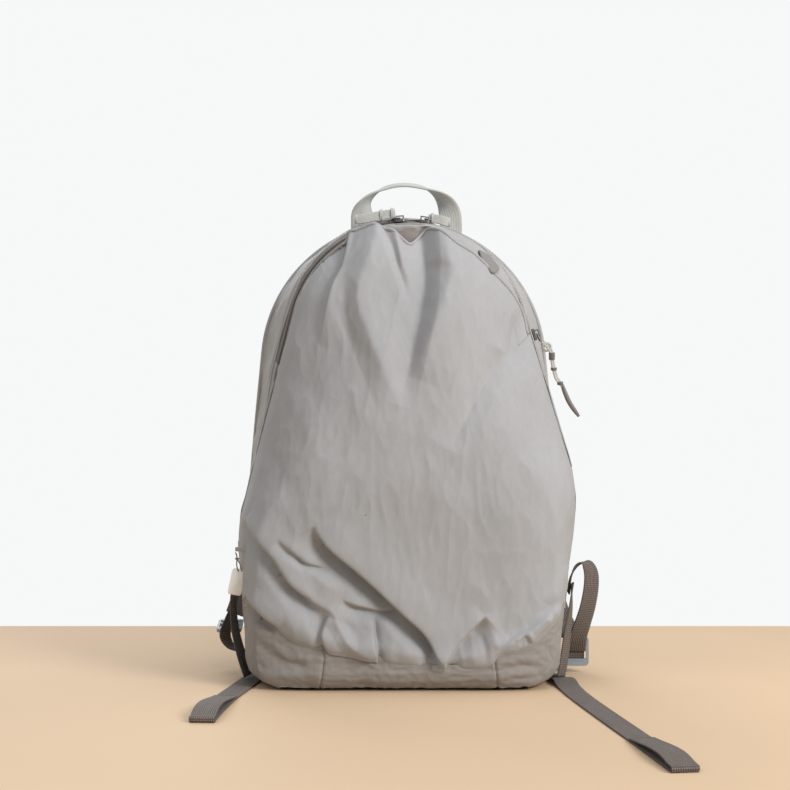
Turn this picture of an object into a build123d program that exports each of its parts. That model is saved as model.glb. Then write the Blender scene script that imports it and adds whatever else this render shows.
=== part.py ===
from build123d import *
import os
from math import asin, cos, degrees, hypot, radians, sin, sqrt

# Daypack, in millimetres. +Z is up, the front faces -Y, the back panel faces +Y.
# The origin is on the base's resting face, on the pack's middle plane.

# ---- driving dimensions -------------------------------------------------------------------
BODY_HALF_WIDTH = 168.0
BACK_Y = 78.0
BACK_PANEL_Y = 64.0
POCKET_EDGE_Y = -20.0
FRONT_Y = -92.0
WALL = 3.0
POCKET_GAP = 9.0
BASE_ARC_LOW = 26.0
BASE_ARC_RADIUS = 307.0
BASE_SEAMS_X = (-76.0, 86.0)
PAD_THICK = 5.0

ZIP_Y = 14.0
ZIP_CENTRE_Z = 340.0
ZIP_RADIUS = 122.0
LEAN = 5.0
ZIP_TAPE_WIDTH = 10.0
ZIP_TAPE_END_Z = 300.0
COIL_WIDTH = 2.0
COIL_HEIGHT = 1.4
SLIDER_ANGLES = {"left": -4.0, "right": 7.6}

SIDE_ZIP_Y = -8.0
SIDE_ZIP_TOP_Z = 370.0
SIDE_ZIP_LOW_Z = 216.0
SIDE_SLIDER_Z = 346.0

HANDLE_X = 4.0
HANDLE_Y = 42.0
HANDLE_HALF_SPAN = 57.5
HANDLE_TOP_Z = 507.0
HANDLE_FOOT_Z = 464.0
HANDLE_BEND_Z = 486.0
HANDLE_WEB = 23.0
HANDLE_THICK = 2.4

WEB = 20.0
WEB_THICK = 1.6
TAIL_FOLD = 108.0

STRAP_ANCHOR = (48.0, 86.0, 438.0)
STRAP_WIDTH = 54.0
STRAP_THICK = 10.0
STRAP_SKIN = 1.5
STRAP_PATH = [(0, 0), (26, 70), (34, 170), (22, 280), (2, 345)]
LOCK_PLACES = {"left": (-183.0, 60.0, 42.0), "right": (178.0, 20.0, 22.0)}
LOCK_TILT = {"left": 12.0, "right": 90.0}
LOCK_SIZE = (26.0, 30.0, 4.0)
STRAP_ENDS = {
    "left": [(2, 346), (0, 384), (-8, 408)],
    "right": [(2, 346), (0, 388), (-14, 406), (-60, 419)],
}
STRAP_END_RADII = {"left": [60], "right": [36, 14]}

YOKE_SIZE = (136.0, 2.4, 20.0)
YOKE_Z = 428.0
ANCHOR_TAB_X = {"left": -156.0, "right": 151.0}
ANCHOR_TAB_OUTLINE = [(0, 0), (0, 46), (9, 24), (9, 16)]
ANCHOR_TAB_DEPTH = 26.0
ANCHOR_TAB_LOW = (60.0, 30.0)

TAG_ANCHOR = (-166.0, -52.0, 131.0)
TAG_DROP = 17.0
TAG_LOOP = ((-166.5, -55.0, 131.5), (-150.0, -49.0, 136.5))
TAG_SIZE = (15.0, 1.1, 27.0)
TAG_TURN = -28.0
TAG_HOLE_RADIUS = 1.6
TAG_CORD_RADIUS = 0.8
GARAGE_TAB = ((72, -18, 404), (96, 4, 432))
FAR = 600.0

os.makedirs("parts", exist_ok=True)


def save(name, shape):
    shape.label = name
    export_step(shape, f"parts/{name}.step")


# ---- the body's outer form -----------------------------------------------------------------
class Section:
    """One upright slice: the outline around a top, two belly and two corner circles."""

    def __init__(self, y, lean, top, belly, corner, inset, slump=(0, 0, 0)):
        self.y = y
        self.lean = lean
        self.inset = inset
        half, height, radius = belly
        foot_half, foot_radius, floor = corner
        out, down, foot_out = slump
        top_circle = ((0.0, top[1]), top[0])
        foot_height = floor + foot_radius
        self.circles = [
            top_circle,
            ((half - radius, height), radius),
            ((foot_half - foot_radius, foot_height), foot_radius),
        ]
        self.left_circles = [
            top_circle,
            ((half - radius + out, height - down), radius),
            ((foot_half - foot_radius + foot_out, foot_height), foot_radius),
        ]

    def turns(self, circles, depth):
        """The belly and corner arcs of one side: circle, first and last normal."""
        circles = [(c, r - self.inset[1] * depth) for c, r in circles]
        normals = [tangent_normal(circles[i], circles[i + 1]) for i in range(2)]
        return [(circles[1], *normals), (circles[2], normals[1], (0.0, -1.0))]

    def edges(self, depth):
        """The outline moved inwards by depth, as ten lines and arcs, and its place along Y."""
        y = self.y + self.inset[0] * depth
        right = self.turns(self.circles, depth)
        left = self.turns(self.left_circles, depth)
        centre, radius = self.circles[0]
        top = (centre, radius - self.inset[1] * depth)
        path = [(top, flipped(left[0][1]), right[0][1])] + right
        path += [(mirrored(c), flipped(b), flipped(a)) for c, a, b in reversed(left)]
        drawn = []
        for i, (circle, first, last) in enumerate(path):
            drawn.append(arc_on(circle, first, last, y))
            following, start, _ = path[(i + 1) % len(path)]
            drawn.append(Line(on(circle, last, y), on(following, start, y)))
        return [edge.moved(Location((self.lean, 0, 0))) for edge in drawn]

    def wire(self, depth):
        return Wire(self.edges(depth))


def tangent_normal(first, second):
    """The outward normal of the line that touches both circles on the +X side."""
    (x1, z1), r1 = first
    (x2, z2), r2 = second
    length = hypot(x2 - x1, z2 - z1)
    ux, uz = (x2 - x1) / length, (z2 - z1) / length
    along = (r1 - r2) / length
    across = sqrt(1 - along * along)
    return (along * ux - across * uz, along * uz + across * ux)


def flipped(normal):
    return (-normal[0], normal[1])


def mirrored(circle):
    (x, z), r = circle
    return ((-x, z), r)


def on(circle, normal, y):
    (x, z), r = circle
    return (x + r * normal[0], y, z + r * normal[1])


def arc_on(circle, first, last, y):
    mx, mz = first[0] + last[0], first[1] + last[1]
    length = hypot(mx, mz)
    middle = (mx / length, mz / length)
    return ThreePointArc(on(circle, first, y), on(circle, middle, y), on(circle, last, y))


# depth, lean to +X, top circle (radius, centre height), belly (half width, centre height,
# radius), corner (half width, radius, lowest height), how an inset moves it (Y, radius), and
# how the left side slumps (belly outwards and down, corner outwards)
BELLY = (BODY_HALF_WIDTH, 180, 130)
FOOT = (152, 32, 0)
SLUMP = (3, 40, 12)
SECTIONS = [
    Section(BACK_Y, 0, (143, 318), (154, 180, 125), (142, 26, 6), (-1, 1)),
    Section(66, 0, (150, 318), (161, 180, 130), (150, 32, 0), (0, 1)),
    Section(20, LEAN, (ZIP_RADIUS + 0.5, ZIP_CENTRE_Z), BELLY, FOOT, (0, 1), SLUMP),
    Section(8, LEAN, (ZIP_RADIUS - 0.5, ZIP_CENTRE_Z), BELLY, FOOT, (0, 1), SLUMP),
    Section(POCKET_EDGE_Y, LEAN, (120, 337), BELLY, FOOT, (0, 1), SLUMP),
    Section(-50, LEAN, (94, 320), (160, 170, 120), (150, 32, 0), (0.8, 0.8), (3, 30, 11)),
    Section(-80, LEAN, (70, 245), (140, 150, 100), (138, 32, 2), (1, 0.8), (4, 20, 10)),
    Section(FRONT_Y, LEAN, (50, 190), (100, 140, 60), (100, 30, 20), (1, 0.3)),
]


def envelope(depth=0.0):
    wires = [Face(s.wire(depth)) for s in SECTIONS]
    return loft(wires, ruled=True)


def slab(low, high):
    """A box from its lowest to its highest corner; None means far away."""
    a = [-FAR if v is None else v for v in low]
    b = [FAR if v is None else v for v in high]
    size = [q - p for p, q in zip(a, b)]
    middle = [(p + q) / 2 for p, q in zip(a, b)]
    return Pos(*middle) * Box(*size)


def between_y(low, high):
    return slab((None, low, None), (None, high, None))


# ---- shells of the body --------------------------------------------------------------------
OUTER = envelope()
INNER = envelope(WALL)
SHELL = OUTER - INNER
base_barrel = Pos(0, 0, BASE_ARC_LOW + BASE_ARC_RADIUS) * Rot(90, 0, 0) * Cylinder(BASE_ARC_RADIUS, FAR)
BASE_ZONE = slab((-220, -200, -20), (220, 200, 130)) - base_barrel


def make_back_panel():
    foam = INNER & between_y(BACK_PANEL_Y + WALL, None)
    cover = (OUTER & between_y(BACK_PANEL_Y, None)) - foam
    save("back_panel_cover", cover)
    save("back_panel_foam", foam)


def make_gussets():
    zip_low = ZIP_Y - ZIP_TAPE_WIDTH / 2
    zip_high = ZIP_Y + ZIP_TAPE_WIDTH / 2
    upper = SHELL - BASE_ZONE
    save("gusset_rear", upper & between_y(zip_high, BACK_PANEL_Y))
    below_zip = slab((None, zip_low, None), (None, zip_high, ZIP_TAPE_END_Z))
    front = (upper & between_y(POCKET_EDGE_Y, zip_low)) + (upper & below_zip)
    flange = (OUTER - envelope(POCKET_GAP + 1.5)) - BASE_ZONE
    save("gusset_front", front + (flange & between_y(POCKET_EDGE_Y, POCKET_EDGE_Y + 2)))
    tape_zone = slab((None, zip_low, ZIP_TAPE_END_Z), (None, zip_high, None))
    save("main_zip_tape", (OUTER - envelope(1.2)) & tape_zone)
    coil_zone = slab((None, ZIP_Y - COIL_WIDTH / 2, ZIP_TAPE_END_Z), (None, ZIP_Y + COIL_WIDTH / 2, None))
    save("main_zip_coil", (envelope(-COIL_HEIGHT) - OUTER) & coil_zone)
    piping = (envelope(-1.8) - OUTER) & slab((None, 61.5, 40), (None, 65.5, None))
    save("back_piping", piping)


def make_front():
    ahead = between_y(None, POCKET_EDGE_Y)
    save("front_overlay", (SHELL - BASE_ZONE) & ahead)
    liner = envelope(POCKET_GAP) - envelope(POCKET_GAP + 1.5)
    save("pocket_liner", liner & ahead)
    hem = (envelope(-1.2) - OUTER) & slab((None, POCKET_EDGE_Y - 7, 352), (None, POCKET_EDGE_Y, None))
    save("front_hem", hem)


def make_base():
    base = SHELL & BASE_ZONE & between_y(None, BACK_PANEL_Y)
    left_x, right_x = BASE_SEAMS_X
    save("base_left", base & slab((None, None, None), (left_x, None, None)))
    save("base_centre", base & slab((left_x, None, None), (right_x, None, None)))
    save("base_right", base & slab((right_x, None, None), (None, None, None)))
    pad = INNER & slab((None, POCKET_EDGE_Y, WALL), (None, BACK_PANEL_Y - 1, WALL + PAD_THICK))
    save("base_pad", pad)


# ---- zips ----------------------------------------------------------------------------------
def side_wall_frame(z, lift=0.0):
    """Local axes on the right wall at the side zip: X down along the wall, Z out of it."""
    before, after = SECTIONS[3], SECTIONS[4]
    share = (SIDE_ZIP_Y - before.y) / (after.y - before.y)
    ends = []
    for i in (0, 1):
        points = []
        for s in (before, after):
            normal = tangent_normal(s.circles[0], s.circles[1])
            x, y, height = on(s.circles[i], normal, s.y)
            points.append((x + s.lean, y, height))
        a, b = points
        ends.append([p + (q - p) * share for p, q in zip(a, b)])
    high, low = ends
    run = Vector(*low) - Vector(*high)
    down = run.normalized()
    out = Vector(-down.Z, 0, down.X)
    along = (high[2] - z) / -down.Z
    origin = Vector(*high) + down * along + out * lift
    return Plane(origin=origin, x_dir=down, z_dir=out)


def arc_frame(angle, lift=0.0):
    """Local axes on the main zip's arc: X clockwise seen from the front, Z outwards."""
    a = radians(angle)
    radius = ZIP_RADIUS + lift
    origin = (LEAN + radius * sin(a), ZIP_Y, ZIP_CENTRE_Z + radius * cos(a))
    return Plane(origin=origin, x_dir=(cos(a), 0, -sin(a)), z_dir=(sin(a), 0, cos(a)))


SLIDER_CLEAR = 0.7
SLIDER_LENGTH = 12.0
SLIDER_WIDTH = 9.0
SLIDER_THICK = 2.6
BAIL_LIFT = COIL_HEIGHT + SLIDER_CLEAR + SLIDER_THICK + 2.0
RING_RADIUS = 4.0
RING_WIRE = 0.65
PULL_START = 2 * RING_RADIUS + RING_WIRE + 0.3
PULL_TAPE = 9.6
PULL_RISE = 2.2
# the length of each top pull's tape, its slope below the zip, and where its bars sit
TOP_PULLS = {"left": (36.0, 6.0, (1.5, 10.0)), "right": (16.0, 8.0, (1.5,))}
SIDE_PULL_TILT = -7.0
SIDE_PULL_CORD = 44.0
SIDE_PULL_TAB = 24.0


def slider_body():
    """A zip slider on its frame: plate with a rounded nose and the bail over its back."""
    floor = COIL_HEIGHT + SLIDER_CLEAR
    plate = Pos(0, 0, floor + SLIDER_THICK / 2) * Box(SLIDER_LENGTH, SLIDER_WIDTH, SLIDER_THICK)
    plate = fillet(plate.edges().filter_by(Axis.Z), 3.0)
    bail = Pos(0, 0, floor + SLIDER_THICK + 2.0) * Box(9.0, 2.2, 4.0)
    slot = Pos(0, 0, floor + SLIDER_THICK + 1.5) * Box(6.4, 4.0, 3.0)
    return plate + (bail - slot)


def pull_ring(tilt):
    """The wire ring through the bail, tilt degrees below the local +X direction."""
    ring = Pos(RING_RADIUS, 0, 0) * Torus(RING_RADIUS, RING_WIRE)
    return Pos(0, 0, BAIL_LIFT - 0.5) * Rot(0, tilt, 0) * ring


def pull_strip(start, length, height, thick, tilt, rise=0.0):
    """A pull's tape, standing on edge, from start to start + length along the pull."""
    tape = Pos(start + length / 2, 0, rise) * Box(length, thick, height)
    return Pos(0, 0, BAIL_LIFT - 0.5) * Rot(0, tilt, 0) * tape


def turned(shape):
    """The same shape pointing the other way along local X."""
    return Rot(0, 0, 180) * shape


def make_top_zip(side):
    frame = arc_frame(SLIDER_ANGLES[side])
    save(f"zip_slider_{side}", frame * slider_body())
    length, tilt, bar_places = TOP_PULLS[side]
    ring = pull_ring(tilt)
    tape = pull_strip(PULL_START, length, PULL_TAPE, WEB_THICK, tilt, PULL_RISE)
    bars = []
    for at in bar_places:
        bar = pull_strip(PULL_START + at, 2.2, PULL_TAPE + 1.6, 4.0, tilt, PULL_RISE)
        bars.append(bar - tape)
    pieces = {"zip_ring": ring, "pull_tape": tape, "pull_keeper": Part(children=bars)}
    for name, piece in pieces.items():
        local = turned(piece) if side == "left" else piece
        save(f"{name}_{side}", frame * local)


def make_side_zip():
    zone = slab((100, SIDE_ZIP_Y - 5, SIDE_ZIP_LOW_Z), (None, SIDE_ZIP_Y + 5, SIDE_ZIP_TOP_Z))
    save("side_zip_tape", (envelope(-0.8) - OUTER) & zone)
    coil_zone = slab((100, SIDE_ZIP_Y - 1, SIDE_ZIP_LOW_Z), (None, SIDE_ZIP_Y + 1, SIDE_ZIP_TOP_Z))
    save("side_zip_coil", (envelope(-2.0) - envelope(-0.8)) & coil_zone)
    frame = side_wall_frame(SIDE_SLIDER_Z, lift=0.6)
    save("zip_slider_side", frame * slider_body())
    save("zip_ring_side", frame * pull_ring(SIDE_PULL_TILT))
    cord = pull_strip(PULL_START, SIDE_PULL_CORD, 4.0, 2.2, SIDE_PULL_TILT)
    tab = pull_strip(PULL_START + SIDE_PULL_CORD, SIDE_PULL_TAB, 6.0, 5.0, SIDE_PULL_TILT)
    save("pull_tape_side", frame * cord)
    save("pull_tab_side", frame * tab)


def make_zip_trim():
    patches = []
    for angle in (-74, 74):
        a = radians(angle)
        block = Pos(LEAN + ZIP_RADIUS * sin(a), ZIP_Y, ZIP_TAPE_END_Z + 5) * Box(60, 13, 10)
        patches.append((envelope(-2.2) - envelope(-COIL_HEIGHT)) & block)
    save("main_zip_stops", Part(children=patches))
    save("garage_tab", (envelope(-1.6) - OUTER) & slab(*GARAGE_TAB))


# ---- handle --------------------------------------------------------------------------------
def make_handle():
    low = HANDLE_BEND_Z
    half = HANDLE_HALF_SPAN - HANDLE_WEB / 2 + 4
    rise = HANDLE_TOP_Z - HANDLE_THICK / 2 - low
    radius = (half * half + rise * rise) / (2 * rise)
    middle = Pos(HANDLE_X, HANDLE_Y, low + rise - radius)
    ring = Cylinder(radius + HANDLE_THICK / 2, HANDLE_WEB) - Cylinder(radius - HANDLE_THICK / 2, HANDLE_WEB)
    arch = (middle * Rot(90, 0, 0) * ring) & slab((None, None, low), (None, None, None))
    legs = []
    for way in (-1, 1):
        x = HANDLE_X + way * (HANDLE_HALF_SPAN - HANDLE_WEB / 2)
        height = low + 4 - HANDLE_FOOT_Z
        legs.append(Pos(x, HANDLE_Y, HANDLE_FOOT_Z + height / 2) * Box(HANDLE_WEB, HANDLE_THICK, height))
    inside = Pos(HANDLE_X, HANDLE_Y, low + rise - radius) * Rot(90, 0, 0)
    outside = inside * Cylinder(radius + HANDLE_THICK / 2, FAR)
    legs = [leg & outside for leg in legs]
    save("handle", arch + legs[0] + legs[1])
    feet = []
    for way in (-1, 1):
        x = HANDLE_X + way * (HANDLE_HALF_SPAN - HANDLE_WEB / 2)
        patch = slab((x - HANDLE_WEB / 2, HANDLE_Y - 8, 400), (x + HANDLE_WEB / 2, HANDLE_Y + 8, None))
        feet.append((envelope(-1.0) - OUTER) & patch)
    save("handle_feet", Part(children=feet))


# ---- webbing at the sides ------------------------------------------------------------------
def strip_xz(points, radii, y, width=WEB, thick=WEB_THICK):
    """Webbing along a path in an XZ plane, its width along Y."""
    path = FilletPolyline([(x, y, z) for x, z in points], radius=radii)
    start = Vector(points[0][0], y, points[0][1])
    run = Vector(points[1][0] - points[0][0], 0, points[1][1] - points[0][1])
    section = Plane(origin=start, x_dir=(0, 1, 0), z_dir=run) * Rectangle(width, thick)
    return sweep(section, path=path)


def strip_on_table(points, low, width=WEB, thick=WEB_THICK):
    """Webbing lying flat: straight runs joined by mitres."""
    sides = [[], []]
    for i, (x, y) in enumerate(points):
        before = points[max(i - 1, 0)]
        after = points[min(i + 1, len(points) - 1)]
        run = Vector(after[0] - before[0], after[1] - before[1], 0).normalized()
        for side, way in zip(sides, (1, -1)):
            side.append((x - way * run.Y * width / 2, y + way * run.X * width / 2))
    outline = Polyline(*(sides[0] + sides[1][::-1]), close=True)
    return Pos(0, 0, low) * extrude(make_face(outline), thick)


SIDE_WEBS = {
    "left": {
        "loop": [(-168, 92), (-176, 62), (-185, 38), (-177, 27), (-163, 23)],
        "loop_radii": [24, 9, 9],
        "loop_y": 16.0,
        "drop": [(-168.6, 92), (-162.0, 26), (-156.5, 3)],
        "drop_y": -20.0,
        "tail": [(-150, -12), (-168, -122), (-177, -230)],
    },
    "right": {
        "loop": [(168, 84), (176, 112), (188, 118), (198, 96), (196, 62), (187, 42)],
        "loop_radii": [12, 8, 16, 30],
        "loop_y": 0.0,
        "drop": [(167.8, 92), (160.2, 26), (158.5, 3)],
        "drop_y": -24.0,
        "tail": [(154, -20), (196, -301), (211, -410)],
    },
}


def point_back(points, distance):
    """The place on the last run, distance before its end."""
    (x1, y1), (x2, y2) = points[-2:]
    share = distance / hypot(x2 - x1, y2 - y1)
    return (x2 + (x1 - x2) * share, y2 + (y1 - y2) * share)


def make_side_webbing(side):
    spec = SIDE_WEBS[side]
    save(f"web_loop_{side}", strip_xz(spec["loop"], spec["loop_radii"], spec["loop_y"]))
    save(f"web_drop_{side}", strip_xz(spec["drop"], [30], spec["drop_y"]))
    tail = spec["tail"]
    save(f"web_tail_{side}", strip_on_table(tail, 0.0))
    fold = [point_back(tail, TAIL_FOLD), tail[-1]]
    save(f"tail_hem_{side}", strip_on_table(fold, WEB_THICK))


def make_anchor_tab(side):
    tab = extrude(make_face(Polyline(*ANCHOR_TAB_OUTLINE, close=True)), ANCHOR_TAB_DEPTH)
    tab = mirror(tab, Plane.YZ) if side == "left" else tab
    upright = Pos(ANCHOR_TAB_X[side], *ANCHOR_TAB_LOW) * Rot(90, 0, 0) * tab
    save(f"anchor_tab_{side}", upright - envelope(-0.3))


# ---- shoulder straps and ladder locks ------------------------------------------------------
def strap_frame(side):
    """Local axes of a strap: origin at its top anchor, -Z down along it, +Y off the back."""
    x, y, z = STRAP_ANCHOR
    lock = LOCK_PLACES[side]
    way = -1 if side == "left" else 1
    lean = degrees(asin((abs(lock[0]) - x) / hypot(abs(lock[0]) - x, z - lock[2])))
    return Pos(way * x, y, z) * Rot(0, -way * lean, 0)


def strip_yz(points, radii, width, thick):
    """A strip in the strap's own YZ plane; points are (off the back, down the strap)."""
    path = FilletPolyline([(0, y, -s) for y, s in points], radius=radii)
    run = Vector(0, points[1][0] - points[0][0], points[0][1] - points[1][1])
    start = Vector(0, points[0][0], -points[0][1])
    section = Plane(origin=start, x_dir=(1, 0, 0), z_dir=run) * Rectangle(width, thick)
    return sweep(section, path=path)


def shortened(points, cut):
    """The path with its first and last runs shorter by cut at the ends."""
    moved = []
    for end, inner in ((points[0], points[1]), (points[-1], points[-2])):
        length = hypot(inner[0] - end[0], inner[1] - end[1])
        moved.append(tuple(e + (i - e) * cut / length for e, i in zip(end, inner)))
    return [moved[0]] + points[1:-1] + [moved[1]]


def make_strap(side):
    place = strap_frame(side)
    radii = [120, 220, 160]
    whole = strip_yz(STRAP_PATH, radii, STRAP_WIDTH, STRAP_THICK)
    inner_path = shortened(STRAP_PATH, 4.0)
    core_width = STRAP_WIDTH - 2 * STRAP_SKIN
    core = strip_yz(inner_path, radii, core_width, STRAP_THICK - 2 * STRAP_SKIN)
    save(f"strap_cover_{side}", place * (whole - core))
    save(f"strap_foam_{side}", place * core)
    save(f"strap_web_{side}", place * strip_yz(STRAP_ENDS[side], STRAP_END_RADII[side], WEB, WEB_THICK))


def ladder_lock():
    """A two-slot ladder lock, flat, with its rear bar at +Y and a raised lip at -Y."""
    wide, long, thick = LOCK_SIZE
    plate = Box(wide, long, thick)
    plate = fillet(plate.edges().filter_by(Axis.Z), 4.0)
    rear = Pos(0, long / 2 - 7, 0) * Box(wide - 5, 6, 2 * thick)
    front = Pos(0, -3, 0) * Box(wide - 5, 10, 2 * thick)
    lip = Pos(0, -long / 2 + 2.2, thick / 2 + 0.6) * Box(wide - 8, 4.4, 1.4)
    return plate - rear - front + lip


def make_ladder_lock(side):
    place = Pos(*LOCK_PLACES[side]) * Rot(LOCK_TILT[side], 0, 0)
    save(f"ladder_lock_{side}", place * ladder_lock())


def make_yoke():
    save("strap_yoke", Pos(0, BACK_Y + YOKE_SIZE[1] / 2, YOKE_Z) * Box(*YOKE_SIZE))


# ---- tag -----------------------------------------------------------------------------------
def make_tag():
    x, y, z = TAG_ANCHOR
    top = z - TAG_DROP
    plate = Pos(x, y, top - TAG_SIZE[2] / 2) * Rot(0, 0, TAG_TURN) * Box(*TAG_SIZE)
    hole = Pos(x, y, top - 4) * Rot(90, 0, TAG_TURN) * Cylinder(TAG_HOLE_RADIUS, 20)
    save("tag_plate", plate - hole)
    length = TAG_DROP - 2
    save("tag_cord", Pos(x, y, z - length / 2) * Cylinder(TAG_CORD_RADIUS, length))
    save("tag_bartack", slab(*TAG_LOOP) - OUTER)


def main():
    make_back_panel()
    make_gussets()
    make_front()
    make_base()
    make_zip_trim()
    make_side_zip()
    make_handle()
    make_yoke()
    make_tag()
    for side in ("left", "right"):
        make_top_zip(side)
        make_side_webbing(side)
        make_anchor_tab(side)
        make_strap(side)
        make_ladder_lock(side)


main()
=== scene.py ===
from math import asin, atan2, cos, hypot, pi, radians, sin
import bpy
import numpy as np
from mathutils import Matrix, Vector, noise


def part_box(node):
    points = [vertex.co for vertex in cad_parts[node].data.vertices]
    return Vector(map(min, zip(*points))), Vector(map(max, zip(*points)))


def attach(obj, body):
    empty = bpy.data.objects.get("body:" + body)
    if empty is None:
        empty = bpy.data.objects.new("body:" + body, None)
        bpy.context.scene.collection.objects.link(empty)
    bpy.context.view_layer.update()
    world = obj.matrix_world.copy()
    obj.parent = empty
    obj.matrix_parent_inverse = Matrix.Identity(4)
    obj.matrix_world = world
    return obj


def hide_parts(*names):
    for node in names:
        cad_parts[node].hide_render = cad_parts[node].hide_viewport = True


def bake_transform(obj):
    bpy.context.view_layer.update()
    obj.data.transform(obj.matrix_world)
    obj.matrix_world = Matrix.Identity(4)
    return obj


# Daypack. Lengths are millimetres until a mesh is made. +Z is up, the front faces -Y.

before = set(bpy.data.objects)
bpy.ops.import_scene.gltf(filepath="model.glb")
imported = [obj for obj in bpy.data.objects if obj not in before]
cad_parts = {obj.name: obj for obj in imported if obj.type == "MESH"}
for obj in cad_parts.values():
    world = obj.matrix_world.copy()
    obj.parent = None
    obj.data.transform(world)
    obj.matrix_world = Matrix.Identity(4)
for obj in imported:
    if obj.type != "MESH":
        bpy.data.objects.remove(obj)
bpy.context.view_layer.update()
MM = 0.001

# ---- driving dimensions --------------------------------------------------------------------
LEAN = 5.0
POCKET_EDGE_Y = -20.0
BACK_PANEL_Y = 64.0
BACK_Y = 78.0
ZIP_Y = 14.0
ZIP_HALF = 5.0
ZIP_TAPE_END_Z = 300.0
BASE_ARC_LOW = 26.0
BASE_ARC_RADIUS = 307.0
BASE_SEAMS_X = (-77.0, 87.0)
SIDE_ZIP_Y = -8.0
SIDE_ZIP_Z = (368.0, 218.0)
FRONT_CENTRE = (LEAN, 200.0)
BASE_CENTRE = (LEAN, 600.0)
WEB = 20.0
WEB_THICK = 1.6
WAY = {"left": -1, "right": 1}

# upright slices of the body: y, lean to +X, then top, belly and foot circles (x, z, radius), and
# how the left side slumps (belly outwards and down, foot outwards)
RIBS = [
    (78, 0, (0, 318, 143), (29, 180, 125), (116, 32, 26), (0, 0, 0)),
    (66, 0, (0, 318, 150), (31, 180, 130), (118, 32, 32), (0, 0, 0)),
    (20, 5, (0, 340, 122.5), (38, 180, 130), (120, 32, 32), (3, 40, 12)),
    (8, 5, (0, 340, 121.5), (38, 180, 130), (120, 32, 32), (3, 40, 12)),
    (-20, 5, (0, 337, 120), (38, 180, 130), (120, 32, 32), (3, 40, 12)),
    (-50, 5, (0, 320, 94), (40, 170, 120), (118, 32, 32), (3, 30, 11)),
    (-80, 5, (0, 245, 70), (40, 150, 100), (106, 34, 32), (4, 20, 10)),
    (-92, 5, (0, 190, 50), (40, 140, 60), (70, 50, 30), (0, 0, 0)),
]
NORMALS = np.radians(np.arange(-180, 180, 0.5))


def support(y):
    """How far the body's outline at depth y reaches along each direction in NORMALS."""
    ys = [rib[0] for rib in RIBS][::-1]
    values = [(rib[1], *rib[2], *rib[3], *rib[4], *rib[5]) for rib in RIBS][::-1]
    lean, *flat = [np.interp(y, ys, column) for column in np.array(values).T]
    out, down, foot_out = flat[9:]
    far = []
    for (x, z, r), wide, low in zip(np.array(flat[:9]).reshape(3, 3), (0, out, foot_out), (0, down, 0)):
        far.append((lean + x) * np.cos(NORMALS) + z * np.sin(NORMALS) + r)
        far.append((lean - x - wide) * np.cos(NORMALS) + (z - low) * np.sin(NORMALS) + r)
    return np.max(far, axis=0)


def reach(y, angle, centre=FRONT_CENTRE):
    """Distance from the centre to the outline at depth y, along each angle."""
    height = support(y) - centre[0] * np.cos(NORMALS) - centre[1] * np.sin(NORMALS)
    across = np.cos(NORMALS - np.ravel(angle)[:, None])
    ratio = np.where(across > 0.02, height / np.maximum(across, 0.02), 1e9)
    return ratio.min(axis=1).reshape(np.shape(angle))


def outline(y, angle, grow=0.0, centre=FRONT_CENTRE):
    """Points on the body's outline at depth y."""
    r = reach(y, angle, centre) + grow
    x = centre[0] + r * np.cos(angle)
    z = centre[1] + r * np.sin(angle)
    return np.stack([x, np.full_like(x, y), z], axis=-1)


LEVELS = [-92.0, -80.0, -50.0, -20.0]
CROWN_Y = -96.5
TURN = np.radians(np.arange(-180, 181, 1.0))
LEVEL_REACH = [reach(y, TURN) for y in LEVELS]


def front_depth(x, z):
    """The y of the front's smooth dome at x, z: a monotone curve through the level outlines."""
    dx, dz = x - FRONT_CENTRE[0], z - FRONT_CENTRE[1]
    angle = np.arctan2(dz, dx)
    r = np.hypot(dx, dz)
    knots = [np.zeros_like(r)] + [np.interp(angle, TURN, level) for level in LEVEL_REACH]
    heights = [CROWN_Y] + LEVELS
    rise = [(b - a) / (q - p) for a, b, p, q in zip(heights, heights[1:], knots, knots[1:])]
    slopes = [np.zeros_like(r)]
    slopes += [2 * a * b / (a + b) for a, b in zip(rise, rise[1:])]
    slopes += [1.6 * rise[-1]]
    y = np.full_like(r, heights[-1]) + slopes[-1] * (r - knots[-1])
    for i in range(len(rise)):
        p, q = knots[i], knots[i + 1]
        width = q - p
        t = np.clip((r - p) / width, 0, 1)
        cubic = (2 * t**3 - 3 * t**2 + 1) * heights[i] + (t**3 - 2 * t**2 + t) * width * slopes[i]
        cubic += (3 * t**2 - 2 * t**3) * heights[i + 1] + (t**3 - t**2) * width * slopes[i + 1]
        y = np.where((r >= p) & (r <= q), cubic, y)
    return y


def front_normals(x, z, step=0.5):
    """Outward unit normals of the front's smooth dome."""
    across = (front_depth(x + step, z) - front_depth(x - step, z)) / (2 * step)
    upward = (front_depth(x, z + step) - front_depth(x, z - step)) / (2 * step)
    normal = np.stack([across, -np.ones_like(x), upward], axis=-1)
    return normal / np.linalg.norm(normal, axis=-1, keepdims=True)


# ---- meshes --------------------------------------------------------------------------------
def corners_of(node):
    """A CAD node's lowest and highest corner, in millimetres."""
    return [np.array(corner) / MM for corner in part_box(node)]


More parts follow.
